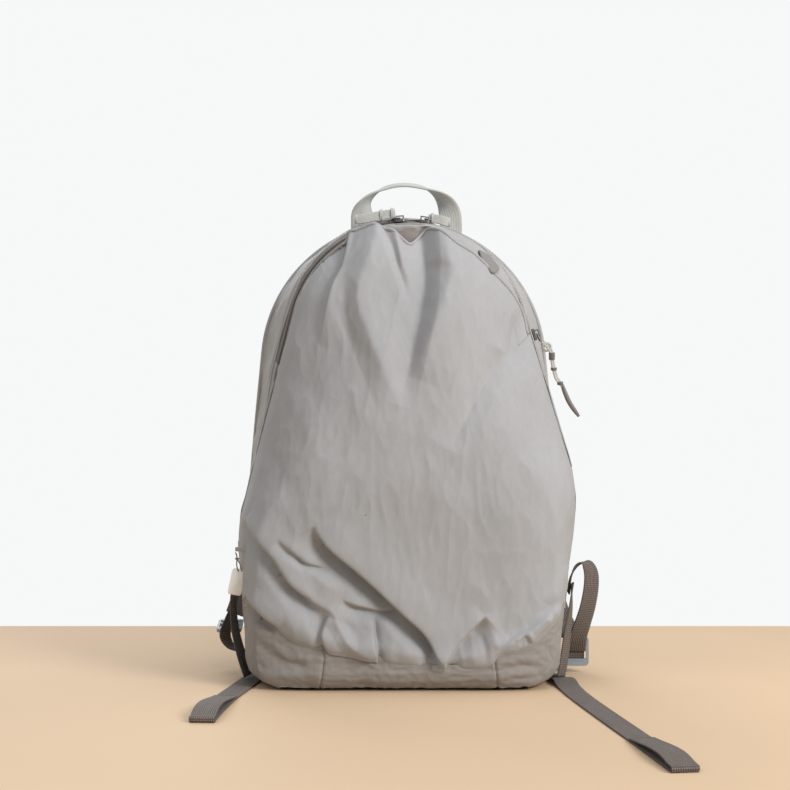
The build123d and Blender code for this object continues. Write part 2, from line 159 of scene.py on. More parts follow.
def mesh_object(name, points, faces, material, uvs=None, smooth=True):
    """A mesh from points, and uvs if it has them, in millimetres."""
    mesh = bpy.data.meshes.new(name)
    mesh.from_pydata((np.asarray(points).reshape(-1, 3) * MM).tolist(), [], faces)
    if uvs is not None:
        layer = mesh.uv_layers.new(name="uv")
        corner = np.zeros(len(mesh.loops), int)
        mesh.loops.foreach_get("vertex_index", corner)
        layer.data.foreach_set("uv", (np.asarray(uvs).reshape(-1, 2)[corner] * MM).ravel())
    mesh.polygons.foreach_set("use_smooth", [smooth] * len(mesh.polygons))
    mesh.materials.append(material)
    mesh.update()
    obj = bpy.data.objects.new(name, mesh)
    bpy.context.scene.collection.objects.link(obj)
    return obj


def grid_faces(rows, columns, closed_rows=False, closed_columns=False, flip=False):
    """Faces of a grid of points, which can be closed round on itself either way."""
    faces = []
    for i in range(rows if closed_rows else rows - 1):
        low, high = i * columns, ((i + 1) % rows) * columns
        for j in range(columns if closed_columns else columns - 1):
            k = (j + 1) % columns
            face = (low + j, low + k, high + k, high + j)
            faces.append(face[::-1] if flip else face)
    return faces


def tube_faces(rows, columns, flip=False):
    """Faces of a tube with a cap at each end."""
    faces = grid_faces(rows, columns, False, True, flip)
    caps = [tuple(range(columns))[::-1], tuple(range((rows - 1) * columns, rows * columns))]
    return faces + ([cap[::-1] for cap in caps] if flip else caps)


def thicken(obj, thickness, offset=-1.0):
    """Gives a sheet its thickness, on its inner side unless the offset says otherwise."""
    shell = obj.modifiers.new("thickness", "SOLIDIFY")
    shell.thickness = thickness * MM
    shell.offset = offset
    graph = bpy.context.evaluated_depsgraph_get()
    mesh = bpy.data.meshes.new_from_object(obj.evaluated_get(graph))
    obj.modifiers.clear()
    obj.data = mesh


def place(obj, body, slot, *nodes):
    """The piece rides on its body and stands for CAD nodes; the slot is not used."""
    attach(obj, body)
    if nodes:
        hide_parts(*nodes)


def normals_of(points):
    """Unit normals of a grid of points, by its rows and columns."""
    normal = np.cross(np.gradient(points, axis=1), np.gradient(points, axis=0))
    return normal / np.maximum(np.linalg.norm(normal, axis=2, keepdims=True), 1e-9)


def lengths(path):
    """The distance along a path to each of its points."""
    return np.append(0, np.cumsum(np.linalg.norm(np.diff(path, axis=0), axis=1)))


def sampled(curve, run, places):
    """A curve's values at places along its run."""
    return np.stack([np.interp(places, run, column) for column in curve.T], axis=1)


def spline(points, count):
    """A smooth curve through the points, at evenly spaced places along it."""
    p = np.asarray(points, float)
    p = np.vstack([2 * p[0] - p[1], p, 2 * p[-1] - p[-2]])
    t = np.linspace(0, 1, 13)[:-1, None]
    dense = []
    for a, b, c, d in zip(p, p[1:], p[2:], p[3:]):
        dense.append(0.5 * (2 * b + (c - a) * t + (2 * a - 5 * b + 4 * c - d) * t**2
                            + (3 * b - a - 3 * c + d) * t**3))
    dense = np.vstack(dense + [p[-2:-1]])
    run = lengths(dense)
    return sampled(dense, run, np.linspace(0, run[-1], count))


def tangents(path):
    t = np.gradient(np.asarray(path, float), axis=0)
    return t / np.linalg.norm(t, axis=1, keepdims=True)


def swept(name, path, across, section, material, closed=False):
    """A section of (across, up) points carried along a path; across is its direction there."""
    path = np.asarray(path, float)
    if closed:
        t = np.roll(path, -1, axis=0) - np.roll(path, 1, axis=0)
        t /= np.linalg.norm(t, axis=1, keepdims=True)
    else:
        t = tangents(path)
    a = np.asarray(across, float) * np.ones_like(path)
    a = a - (a * t).sum(1, keepdims=True) * t
    a /= np.linalg.norm(a, axis=1, keepdims=True)
    up = np.cross(a, t)
    s = np.asarray(section, float)
    if s.ndim == 2:
        s = np.repeat(s[None], len(path), axis=0)
    points = path[:, None] + a[:, None] * s[:, :, :1] + up[:, None] * s[:, :, 1:]
    rows, columns = points.shape[:2]
    if closed:
        faces = grid_faces(rows, columns, True, True, flip=True)
    else:
        faces = tube_faces(rows, columns, flip=True)
    along = lengths(path)[:, None] * np.ones((1, columns))
    uvs = np.stack([s[:, :, 0], along], axis=-1)
    return mesh_object(name, points, faces, material, uvs)


def ribbon_section(width, thick, edge_points=3):
    """A strap's section with softly rounded edges."""
    half, r = width / 2, thick / 2
    turns = np.linspace(-pi / 2, pi / 2, edge_points + 2)
    right = [(half - r + r * cos(a), r * sin(a)) for a in turns]
    left = [(-x, -z) for x, z in right]
    inner = np.linspace(half - r, -half + r, 9)[1:-1]
    top = [(x, r) for x in inner]
    bottom = [(-x, -r) for x in inner]
    return right + top + left + bottom


def circle(count):
    """Evenly spaced angles once round."""
    return np.linspace(0, 2 * pi, count + 1)[:-1]


def round_section(radius, count=8):
    return [(radius * cos(a), radius * sin(a)) for a in circle(count)]


def squared(v, power):
    """A sine or cosine pulled towards 1 and -1, which rounds a box's corners."""
    return np.sign(v) * np.abs(v) ** power


def repeated(name, template, places, material):
    """Copies of a small template (points, faces) at many places (origin, x, y, z axes)."""
    points, faces = template
    points = np.asarray(points, float)
    out, all_faces = [], []
    for i, (origin, x, y, z) in enumerate(places):
        basis = np.array([x, y, z], float)
        out.append(points @ basis + np.asarray(origin, float))
        all_faces += [tuple(v + i * len(points) for v in face) for face in faces]
    return mesh_object(name, np.vstack(out), all_faces, material)


def capsule(length, width, height):
    """A stitch: a low rounded bar along local X."""
    points = []
    for at, size in ((-0.5, 0.35), (-0.32, 1.0), (0.32, 1.0), (0.5, 0.35)):
        for a in circle(6):
            points.append((at * length, size * width / 2 * cos(a), size * height / 2 * sin(a)))
    return points, tube_faces(4, 6, flip=True)


STITCH = 2.6
STITCH_GAP = 1.0


def stitch_row(name, path, up, material, body, pitch=STITCH + STITCH_GAP):
    """Thread stitches along a path; up is the fabric's outward direction."""
    path = np.asarray(path, float)
    run = lengths(path)
    count = max(int(run[-1] / pitch), 2)
    at = (np.arange(count) + 0.5) / count * run[-1]
    ups = sampled(np.asarray(up, float) * np.ones_like(path), run, at)
    places = []
    for spot, x, u in zip(sampled(path, run, at), sampled(tangents(path), run, at), ups):
        x = x / np.linalg.norm(x)
        y = np.cross(u, x)
        y = y / np.linalg.norm(y)
        places.append((spot, x, y, np.cross(x, y)))
    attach(repeated(name, capsule(pitch * 0.74, 0.7, 0.5), places, material), body)


# ---- materials -----------------------------------------------------------------------------
class Shader:
    """A principled material built from a few kinds of procedural layer."""

    def __init__(self, name, colour, roughness, sheen=0.0, metallic=0.0, specular=0.5):
        self.material = bpy.data.materials.new(name)
        self.material.use_nodes = True
        self.tree = self.material.node_tree
        self.bsdf = self.tree.nodes["Principled BSDF"]
        self.bsdf.inputs["Roughness"].default_value = roughness
        self.bsdf.inputs["Metallic"].default_value = metallic
        self.bsdf.inputs["Specular IOR Level"].default_value = specular
        self.bsdf.inputs["Sheen Weight"].default_value = sheen
        self.bsdf.inputs["Sheen Roughness"].default_value = 0.5
        self.bsdf.inputs["Base Color"].default_value = (*colour, 1)
        self.colour = None
        self.base = colour
        self.normal = None
        self.coordinates = self.add("ShaderNodeTexCoord")

    def add(self, kind, **values):
        node = self.tree.nodes.new(kind)
        for key, value in values.items():
            if hasattr(node, key):
                setattr(node, key, value)
            else:
                node.inputs[key.replace("_", " ")].default_value = value
        return node

    def link(self, source, target):
        self.tree.links.new(source, target)

    def mapped(self, scale, space="Object"):
        mapping = self.add("ShaderNodeMapping")
        mapping.inputs["Scale"].default_value = scale
        self.link(self.coordinates.outputs[space], mapping.inputs["Vector"])
        return mapping.outputs["Vector"]

    def noise(self, scale, detail=2.0, space="Object", distortion=0.0):
        """Noise with a scale per axis, in cells per metre."""
        node = self.add("ShaderNodeTexNoise", Scale=1.0, Detail=detail, Distortion=distortion)
        self.link(self.mapped(scale, space), node.inputs["Vector"])
        return node.outputs["Fac"]

    def bands(self, period, direction, space="UV"):
        """Sine bands of a period in millimetres."""
        node = self.add("ShaderNodeTexWave", wave_type="BANDS", bands_direction=direction)
        node.inputs["Scale"].default_value = 2 * pi / 20 / (period * MM)
        node.inputs["Distortion"].default_value = 0.0
        self.link(self.mapped((1, 1, 1), space), node.inputs["Vector"])
        return node.outputs["Fac"]

    def product(self, a, b):
        node = self.add("ShaderNodeMath", operation="MULTIPLY")
        self.link(a, node.inputs[0])
        self.link(b, node.inputs[1])
        return node.outputs[0]

    def tint(self, factor, low, high, span=(0.35, 0.65)):
        """Multiplies the colour by low where the factor is small and by high where it is large."""
        shade = self.add("ShaderNodeMapRange")
        for key, value in zip(("From Min", "From Max", "To Min", "To Max"), (*span, low, high)):
            shade.inputs[key].default_value = value
        self.link(factor, shade.inputs["Value"])
        scale = self.add("ShaderNodeVectorMath", operation="SCALE")
        if self.colour is None:
            scale.inputs[0].default_value = self.base
        else:
            self.link(self.colour, scale.inputs[0])
        self.link(shade.outputs["Result"], scale.inputs["Scale"])
        self.colour = scale.outputs[0]

    def bump(self, factor, distance, strength=1.0):
        """Raises the surface by distance, in millimetres, where the factor is 1."""
        node = self.add("ShaderNodeBump")
        node.inputs["Distance"].default_value = distance * MM
        node.inputs["Strength"].default_value = strength
        self.link(factor, node.inputs["Height"])
        if self.normal is not None:
            self.link(self.normal, node.inputs["Normal"])
        self.normal = node.outputs["Normal"]

    def rough(self, factor, low, high):
        """Roughness from low where the factor is 0 to high where it is 1."""
        shade = self.add("ShaderNodeMapRange")
        shade.inputs["To Min"].default_value = low
        shade.inputs["To Max"].default_value = high
        self.link(factor, shade.inputs["Value"])
        self.link(shade.outputs["Result"], self.bsdf.inputs["Roughness"])

    def finish(self):
        if self.colour is not None:
            self.link(self.colour, self.bsdf.inputs["Base Color"])
        if self.normal is not None:
            self.link(self.normal, self.bsdf.inputs["Normal"])
        return self.material


def nylon(name, colour, crinkle=1.0):
    """Thin matte nylon: soft blotches, fine upright streaks, crinkles and a tight weave."""
    m = Shader(name, colour, 0.72, sheen=0.12, specular=0.35)
    m.tint(m.noise((11, 11, 8), 3.0), 0.95, 1.04)
    m.tint(m.noise((260, 260, 110), 4.0), 0.98, 1.015)
    m.tint(m.noise((1500, 1500, 1500), 1.0), 0.975, 1.02)
    m.bump(m.noise((60, 60, 38), 6.0, distortion=0.8), 0.8 * crinkle, 0.3)
    m.bump(m.noise((380, 380, 90), 3.0), 0.16 * crinkle, 0.3)
    m.bump(m.product(m.bands(0.5, "X", "Object"), m.bands(0.5, "Z", "Object")), 0.05, 0.5)
    m.rough(m.noise((60, 60, 60), 3.0), 0.62, 0.82)
    return m.finish()


def webbing(name, colour, rib, pick, dots, depth=0.25, lengthwise=0.0):
    """Woven tape on its own UV in metres: ribs along its length and picks across it."""
    m = Shader(name, colour, 0.82, sheen=0.08, specular=0.2)
    ribs, picks = m.bands(rib, "X"), m.bands(pick, "Y")
    cross = m.product(ribs, picks)
    m.tint(cross, *dots, (0.1, 0.75))
    if lengthwise:
        m.tint(ribs, 1.0 - lengthwise, 1.0 + 0.4 * lengthwise, (0.1, 0.8))
    m.tint(m.noise((160, 30, 160), 3.0, "UV"), 0.93, 1.05)
    m.tint(m.noise((14, 14, 14), 2.0), 0.95, 1.04)
    m.bump(ribs, depth, 0.8)
    m.bump(picks, 0.6 * depth, 0.7)
    m.bump(m.noise((1200, 1200, 1200), 2.0), 0.05, 0.5)
    return m.finish()


def spacer_mesh(name, colour):
    """Three-layer mesh: a lattice of small round holes."""
    m = Shader(name, colour, 0.85, sheen=0.25, specular=0.25)
    cells = m.add("ShaderNodeTexVoronoi", feature="F1", Scale=1.0, Randomness=0.25)
    m.link(m.mapped((420, 420, 420)), cells.inputs["Vector"])
    m.tint(cells.outputs["Distance"], 0.55, 1.12, (0.15, 0.5))
    m.bump(cells.outputs["Distance"], 0.8, 0.9)
    m.tint(m.noise((30, 30, 30), 3.0), 0.93, 1.05)
    return m.finish()


def plastic(name, colour, roughness, grain=0.05):
    m = Shader(name, colour, roughness, specular=0.45)
    m.tint(m.noise((40, 40, 40), 3.0), 0.95, 1.04)
    m.bump(m.noise((900, 900, 900), 3.0), grain, 0.6)
    m.rough(m.noise((120, 120, 120), 3.0), roughness - 0.08, roughness + 0.1)
    return m.finish()


def metal(name, colour):
    m = Shader(name, colour, 0.4, metallic=0.85)
    m.tint(m.noise((90, 90, 90), 4.0), 0.82, 1.1)
    m.bump(m.noise((700, 700, 700), 2.0), 0.04, 0.6)
    m.rough(m.noise((260, 260, 260), 4.0), 0.32, 0.55)
    return m.finish()


def thread(name, colour):
    m = Shader(name, colour, 0.7, sheen=0.2)
    m.tint(m.noise((700, 700, 700), 2.0), 0.85, 1.12)
    m.bump(m.noise((1600, 1600, 1600), 2.0), 0.1, 0.6)
    return m.finish()


SHELL = nylon("shell_nylon", (0.350, 0.356, 0.371))
GUSSET = nylon("gusset_nylon", (0.378, 0.377, 0.378), 0.8)
# the base is the shell's own nylon; its darker, warmer tone is painted shade on the down-facing panels and
# painted warm bounce from the table
BASE_SHADED_NYLON = nylon("base_nylon", (0.272, 0.256, 0.243))
GARAGE = nylon("garage_nylon", (0.22, 0.215, 0.21), 0.5)
LINING = nylon("lining", (0.235, 0.205, 0.19), 0.6)
TAPE = webbing("zip_tape", (0.27, 0.245, 0.23), 1.2, 0.9, (0.9, 1.1), 0.12)
LIGHT_WEB = webbing("light_webbing", (0.50, 0.515, 0.495), 2.6, 0.9, (0.98, 1.02), 0.18, 0.05)
PULL_WEB = webbing("pull_tape", (0.52, 0.52, 0.50), 1.6, 0.8, (0.96, 1.04), 0.18)
DARK_WEB = webbing("dark_webbing", (0.128, 0.107, 0.096), 1.9, 1.9, (0.72, 2.1), 0.3)
MESH = spacer_mesh("spacer_mesh", (0.20, 0.19, 0.18))
COIL = plastic("zip_coil", (0.17, 0.15, 0.14), 0.45)
METAL = metal("zip_metal", (0.20, 0.19, 0.185))
LOCK = plastic("lock_plastic", (0.30, 0.335, 0.37), 0.42)
WHITE = plastic("tag_white", (0.90, 0.90, 0.885), 0.5)
CORD = thread("tag_cord", (0.30, 0.24, 0.19))
THREAD = thread("thread", (0.36, 0.34, 0.32))
DARK_THREAD = thread("dark_thread", (0.13, 0.11, 0.10))


# ---- folds ---------------------------------------------------------------------------------
def measure(line, x, z):
    """Distance to a line, positive on its left-hand side, and the share of the way along it."""
    path = spline(line, max(10, 5 * len(line)))
    run = lengths(path)
    best = np.full(x.shape, 1e9)
    signed = np.zeros(x.shape)
    share = np.zeros(x.shape)
    for (ax, az), (bx, bz), start in zip(path, path[1:], run):
        length = hypot(bx - ax, bz - az)
        ux, uz = (bx - ax) / length, (bz - az) / length
        t = (x - ax) * ux + (z - az) * uz
        inside = np.clip(t, 0, length)
        dx, dz = x - ax - inside * ux, z - az - inside * uz
        distance = np.hypot(dx, dz)
        nearer = distance < best
        best = np.where(nearer, distance, best)
        side = np.sign(ux * (z - az) - uz * (x - ax))
        signed = np.where(nearer, distance * side, signed)
        share = np.where(nearer, (start + inside) / run[-1], share)
    return signed, share


def fade(share, ends):
    """1 along a fold and 0 at its ends; ends are the shares over which it fades in and out."""
    start, stop = ends
    grow = np.clip(share / start, 0, 1) if start else np.ones_like(share)
    shrink = np.clip((1 - share) / stop, 0, 1) if stop else np.ones_like(share)
    return (grow * (2 - grow)) * (shrink * (2 - shrink))


def step_profile(d, soft):
    """0 on the line's right-hand side and 1 on its left-hand side, eased over soft."""
    return 1 / (1 + np.exp(-np.clip(d / soft, -30, 30)))


def noise_at(points):
    """Smooth noise at each point of a grid."""
    value = [noise.noise(point) for point in points.reshape(-1, 3).tolist()]
    return np.array(value).reshape(points.shape[:2])


class Sheet:
    """A grid of cloth points whose folds are pressed in along its normals."""

    def __init__(self, points, normal):
        self.points = points
        self.normal = normal
        self.x = points[..., 0].copy()
        self.z = points[..., 2].copy()
        self.out = np.zeros(self.x.shape)
        self.shift = np.zeros(points.shape)

    def near(self, line, margin):
        xs, zs = np.array(line, float).T
        mask = (self.x > xs.min() - margin) & (self.x < xs.max() + margin)
        return mask & (self.z > zs.min() - margin) & (self.z < zs.max() + margin)

    def pleat(self, line, rise, dip, soft=1.5, high=14.0, low=12.0, hang=0.0, ends=(0.3, 0.3)):
        """A step: the line's left side stands proud, its right side is pressed in."""
        where = self.near(line, 3.2 * max(high, low))
        d, share = measure(line, self.x[where], self.z[where])
        strength = fade(share, ends)
        upper = step_profile(d, soft)
        proud = rise * upper * np.exp(-(np.maximum(d, 0) / high) ** 2)
        sunk = dip * (1 - upper) * np.exp(-(np.minimum(d, 0) / low) ** 2)
        self.out[where] += strength * (proud - sunk)
        if hang:
            (x0, z0), (x1, z1) = line[0], line[-1]
            length = hypot(x1 - x0, z1 - z0)
            way = np.array([(z1 - z0) / length, 0, -(x1 - x0) / length])
            lean = strength * upper * hang * np.exp(-(d / (0.45 * high)) ** 2)
            self.shift[where] += lean[:, None] * way

    def crease(self, line, height, left, right, soft=2.0, ends=(0.25, 0.25)):
        """A crest (or a valley, below 0) whose two sides are nearly flat facets."""
        where = self.near(line, max(left, right) + 4)
        d, share = measure(line, self.x[where], self.z[where])
        reach_to = np.where(d > 0, left, right)
        slope = (np.hypot(d, soft) - soft) / reach_to + soft / max(left, right)
        edge = np.clip(1 - slope, 0, None)
        self.out[where] += fade(share, ends) * height * edge * (0.55 + 0.45 * edge)

    def wrinkle(self, height, size, stretch=1.0, seed=0.0, ridged=False):
        """Seeded noise; stretch makes it longer up and down."""
        value = noise_at(self.points / np.array([size, size, size * stretch]) + seed)
        if ridged:
            value = 0.5 - np.abs(value) * 2.2
        self.out += height * value

    def result(self):
        return self.points + self.normal * self.out[..., None] + self.shift


def by_angle(points, centre=FRONT_CENTRE):
    """A curve's angle and distance round the centre, in rising order of angle."""
    path = spline(points, 16 * len(points)) - np.array(centre)
    angle = np.arctan2(path[:, 1], path[:, 0])
    order = np.argsort(angle)
    return angle[order], np.hypot(path[:, 0], path[:, 1])[order]


# the front panel's free top edge with its gathered notch, running on down the right side
HEM = [(-64.5, 435), (-58.5, 444), (-52.5, 448), (-39, 450), (-25, 451.5), (-16, 449.5), (-8, 446),
       (-2, 441.5), (5, 438.5), (11, 441), (14.5, 448), (17.5, 454.5), (22, 455), (33, 446.5), (47, 435.5),
       (70, 422.5), (88, 409.5), (107, 391), (120, 368), (124.5, 345)]
# the seam that joins the front panel to the base
BASE_SEAM = [(-156, 88), (-150, 81), (-137, 70), (-124, 59), (-104, 47), (-73, 38), (-28, 29),
             (-7, 25), (37, 20), (70, 21), (84, 25), (93, 33), (109, 37), (126, 44), (140, 57),
             (151, 68), (163, 88)]

# past the base seam's ends the panel's edge eases out to the body's outline, over this angle
SEAM_BLEND = 0.11


def panel_reach(angle):
    """Distance from the front's centre to the front panel's edge, along each angle."""
    far = reach(POCKET_EDGE_Y, angle)
    for curve in (HEM, BASE_SEAM):
        turn, distance = by_angle(curve)
        inside = (angle > turn[0]) & (angle < turn[-1])
        far = np.where(inside, np.interp(angle, turn, distance), far)
    for at, stop, way in ((turn[0], distance[0], -1), (turn[-1], distance[-1], 1)):
        past = way * (angle - at)
        share = np.clip(past / SEAM_BLEND, 0, 1)
        eased = stop + (far - stop) * share**2 * (3 - 2 * share)
        far = np.where((past > 0) & (share < 1), eased, far)
    return far


def disc_grid(count, edge):
    """A square grid round the front's centre, pulled out to an edge that is a distance by angle.

    Gives each point's x and z, its share of the way to the edge, its angle and the edge's distance.
    """
    line = np.linspace(-1, 1, count)
    u, v = np.meshgrid(line, line)
    share = np.maximum(np.abs(u), np.abs(v))
    angle = np.arctan2(v, u)
    far = edge(angle)
    x = FRONT_CENTRE[0] + share * far * np.cos(angle)
    z = FRONT_CENTRE[1] + share * far * np.sin(angle)
    return x, z, share, angle, far


def disc_faces(count, flip=False):
    """Faces of a disc grid; the cells on its two diagonals are split from corner to centre."""
    faces = []
    for i in range(count - 1):
        for j in range(count - 1):
            a, b = i * count + j, i * count + j + 1
            c, d = b + count, a + count
            if i == j:
                cell = [(a, b, c), (a, c, d)]
            elif i + j == count - 2:
                cell = [(a, b, d), (b, c, d)]
            else:
                cell = [(a, b, c, d)]
            faces += [face[::-1] for face in cell] if flip else cell
    return faces


def fold_front(sheet):
    """Every fold of the front panel, from the hem down."""
    crease, pleat = sheet.crease, sheet.pleat
    # gathers that hang from the hem
    pleat([(-51, 470), (-58, 421), (-68, 396), (-76, 366), (-84, 335)], 5.5, 3.5, 1.0, 30, 16, 3.0,
          (0, 0.5))
    crease([(-24, 470), (-27, 438), (-43, 382), (-33, 345), (-14, 298), (-2, 272)], 7.5, 34, 20, 2.5,
           (0, 0.35))
    crease([(-46, 470), (-50, 430), (-57, 395), (-54, 350), (-38, 310)], -3.5, 14, 12, 3, (0, 0.5))
    crease([(-19, 470), (-18, 448), (-12, 434), (-2, 402), (4, 380)], -4.5, 7, 7, 1.0, (0, 0.55))
    crease([(-8, 470), (-7, 445), (-2, 418), (6, 395)], 2.8, 7, 5, 0.9, (0, 0.6))
    crease([(17, 470), (19, 448), (21, 415), (19, 380), (12, 345), (3, 306), (-4, 276)], -12.5, 14, 24,
           2.4, (0, 0.35))
    crease([(34, 470), (37, 450), (45, 415), (42, 385), (28, 345), (10, 303)], 11.0, 50, 19, 5.0,
           (0, 0.45))
    pleat([(20, 421), (34, 416), (50, 408)], 0.5, 2.2, 1.6, 12, 22, 0, (0.3, 0.3))
    crease([(62, 455), (68, 420), (66, 380)], 1.6, 16, 12, 3, (0, 0.6))
    crease([(98, 330), (74, 286), (57, 257), (46, 232)], -5.5, 22, 26, 1.2, (0.2, 0.45))
    crease([(120, 372), (112, 345), (104, 318)], -4.5, 24, 9, 1.0, (0.1, 0.45))
    crease([(84, 322), (70, 292), (60, 262)], -1.6, 9, 12, 3, (0.4, 0.5))
    crease([(116, 364), (110, 335), (118, 300)], -2.0, 10, 22, 3, (0.15, 0.5))
    crease([(-60, 300), (-30, 262), (2, 240)], 1.6, 30, 30, 5, (0.4, 0.5))
    crease([(-118, 300), (-92, 250), (-78, 205), (-74, 170)], 2.2, 24, 30, 5, (0.4, 0.4))
    crease([(-140, 250), (-122, 215), (-112, 180)], -1.8, 16, 16, 4, (0.4, 0.4))
    crease([(20, 240), (34, 190), (44, 140)], 1.5, 30, 34, 6, (0.4, 0.5))
    crease([(96, 240), (110, 190), (112, 140)], 1.8, 26, 26, 5, (0.4, 0.4))
    crease([(134, 250), (140, 200), (136, 140)], -1.6, 16, 16, 4, (0.4, 0.4))
    # the deep diagonal fold
    pleat([(-88, 160), (-82, 152), (-71, 141), (-45, 120), (-28, 105), (-13, 91), (3, 76), (22, 58),
           (33, 38), (37, 24)], 6.0, 15.0, 1.0, 28, 17, 6.0, (0.22, 0.1))
    pleat([(-60, 89), (-48, 85), (-36, 82), (-22, 79), (-4, 80)], 2.4, 6.5, 0.9, 12, 9, 2.4,
          (0.3, 0.3))
    pleat([(-122, 147), (-115, 141), (-107, 135), (-93, 125), (-72, 119)], 2.0, 6.4, 1.2, 10, 6, 2.4,
          (0.35, 0.4))
    pleat([(-158, 164), (-150, 155), (-139, 143), (-124, 127), (-112, 109), (-98, 96), (-84, 85),
           (-70, 76)], 4.2, 8.5, 1.3, 18, 13, 3.5, (0.25, 0.25))
    pleat([(-112, 111), (-104, 102), (-95, 96), (-86, 92)], 1.6, 3.6, 1.0, 8, 7, 1.2, (0.3, 0.4))
    crease([(-98, 132), (-84, 112), (-62, 96)], 3.0, 14, 12, 2, (0.35, 0.4))
    crease([(-140, 120), (-124, 96), (-104, 76), (-86, 60)], 4.0, 18, 16, 3, (0.35, 0.35))
    crease([(-72, 84), (-68, 77), (-63, 66), (-52, 47), (-30, 30)], 4.0, 20, 9, 1.2, (0.2, 0.1))
    crease([(-60, 72), (-50, 60), (-42, 44)], -1.6, 8, 8, 1.5, (0.3, 0.4))
    pleat([(-72, 74), (-77, 62), (-78, 54), (-75, 44), (-69, 32)], 3.2, 5.0, 0.8, 12, 8, 2.2,
          (0.2, 0.0))
    pleat([(-25, 22), (-27, 40), (-29, 54), (-31, 74)], 2.8, 6.0, 0.8, 14, 6, 2.2, (0.0, 0.2))
    crease([(-22, 78), (-14, 60), (4, 44), (26, 34)], 3.4, 16, 14, 2.5, (0.3, 0.2))
    crease([(-20, 68), (-19, 50), (-22, 32)], -1.8, 8, 8, 2, (0.2, 0.2))
    pleat([(-158, 96), (-146, 82), (-134, 71), (-120, 61)], 2.6, 9.0, 1.0, 12, 10, 2.5, (0.3, 0.3))
    # right of the deep fold's foot
    pleat([(38, 18), (42, 32), (50, 46), (57, 54), (64, 61), (78, 74)], 3.0, 7.0, 0.8, 14, 18, 2.6,
          (0.0, 0.25))
    crease([(78, 76), (84, 58), (92, 44)], 2.6, 12, 14, 1.5, (0.3, 0.2))
    crease([(62, 60), (66, 42), (64, 28)], 1.6, 8, 8, 1.2, (0.3, 0.3))
    crease([(74, 58), (78, 42), (78, 28)], -1.4, 5, 5, 1.2, (0.3, 0.3))
    pleat([(150, 86), (136, 74), (122, 62), (104, 52), (92, 42)], 3.0, 3.0, 1.4, 12, 10, 1.4,
          (0.3, 0.25))
    pleat([(108, 48), (116, 55), (122, 47)], 1.6, 2.4, 0.7, 5, 5, 0.8, (0.25, 0.25))
    crease([(121, 58), (132, 69), (142, 66)], 2.4, 7, 9, 1.0, (0.3, 0.3))
    crease([(127, 50), (138, 60), (146, 74)], -2.0, 5, 5, 1.0, (0.3, 0.3))
    crease([(158, 118), (150, 100), (138, 84)], 2.0, 9, 9, 2, (0.3, 0.3))


FRONT_GRID = 361
# angles round the front's centre: where the cloth puffs over the base seam, and where it is free
PUFFED_ANGLES = (-2.8, -0.1)
LOOSE_EDGE_ANGLES = (pi / 3, 1.95)


def make_front():
    """The folded front panel; gives its edge, for the hem to follow."""
    x, z, share, angle, far = disc_grid(FRONT_GRID, panel_reach)
    y = front_depth(x, z)
    sheet = Sheet(np.stack([x, y, z], axis=-1), front_normals(x, z))
    from_edge = (1 - share) * far
    low = (angle > PUFFED_ANGLES[0]) & (angle < PUFFED_ANGLES[1])
    loose = (angle > LOOSE_EDGE_ANGLES[0]) & (angle < LOOSE_EDGE_ANGLES[1])
    puff = 4.5 * np.exp(-((from_edge - 13) / 11) ** 2) - 2.6 * np.exp(-(from_edge / 3.5) ** 2)
    sheet.out += np.where(low, puff * np.clip((130 - z) / 60, 0, 1), 0)
    fold_front(sheet)
    sheet.wrinkle(1.5, 62, 1.4, 3.1)
    sheet.wrinkle(0.8, 24, 1.8, 7.7)
    sheet.wrinkle(0.55, 15, 2.4, 1.2, ridged=True)
    sheet.wrinkle(0.22, 6, 2.0, 9.4)
    sheet.out *= np.where(low | loose, 1, np.clip(from_edge / 12, 0, 1))
    points = sheet.result()
    panel = mesh_object("front_panel", points, disc_faces(FRONT_GRID), SHELL)
    thicken(panel, 0.9)
    place(panel, "pack", "shell_nylon", "front_overlay")
    return ring(points)


def ring(points):
    """The grid's outer points, in order of their angle round the front's centre."""
    edge = np.vstack([points[0], points[1:, -1], points[-1, -2::-1], points[-2:0:-1, 0]])
    turn = np.arctan2(edge[:, 2] - FRONT_CENTRE[1], edge[:, 0] - FRONT_CENTRE[0])
    return edge[np.argsort(turn)]


def make_hem(edge):
    """The roll along the panel's free top edge."""
    turn = np.arctan2(edge[:, 2] - FRONT_CENTRE[1], edge[:, 0] - FRONT_CENTRE[0])
    first, last = by_angle(HEM)[0][[0, -1]]
    path = edge[(turn > first + 0.01) & (turn < last - 0.002)]
    path = spline(path[::6], len(path) // 2) + np.array([0, 0.3, 0])
    hem = swept("front_hem_roll", path, (0, 1, 0), round_section(1.7), SHELL)
    place(hem, "pack", "shell_nylon", "front_hem")


# ---- gussets and back ----------------------------------------------------------------------
def seam_height(x):
    """The height of the base seam round the sides and back."""
    return BASE_ARC_LOW + BASE_ARC_RADIUS - np.sqrt(BASE_ARC_RADIUS**2 - x**2)


def seam_angles(y):
    """The two angles round the front's centre where the outline at y meets the base seam."""
    angle = np.radians(np.linspace(-75, 255, 1321))
    ring_points = outline(y, angle)
    above = ring_points[:, 2] > seam_height(ring_points[:, 0])
    return angle[above][0], angle[above][-1]


def radial(points):
    """Unit directions away from the front's centre, in the XZ plane."""
    out = points - np.array([FRONT_CENTRE[0], 0, FRONT_CENTRE[1]])
    out[..., 1] = 0
    return out / np.linalg.norm(out, axis=-1, keepdims=True)


def flared(points):
    """On the left the mouth gapes: its rear side stands out and its front side lies further in."""
    x, y, z = points[..., 0], points[..., 1], points[..., 2]
    left = np.clip((-x + 35) / 60, 0, 1) * np.clip((z - 250) / 60, 0, 1)
    behind = np.interp(y, [-22, 7, 9, 19, 26, 52], [0, -2.4, -2.2, 6.5, 7.0, 0])
    return points + radial(points) * (left * behind)[..., None]


def crumple(points, height, size, seed):
    """Pushes a band of the body in and out by smooth noise."""
    return points + radial(points) * (height * noise_at(points / size + seed))[..., None]


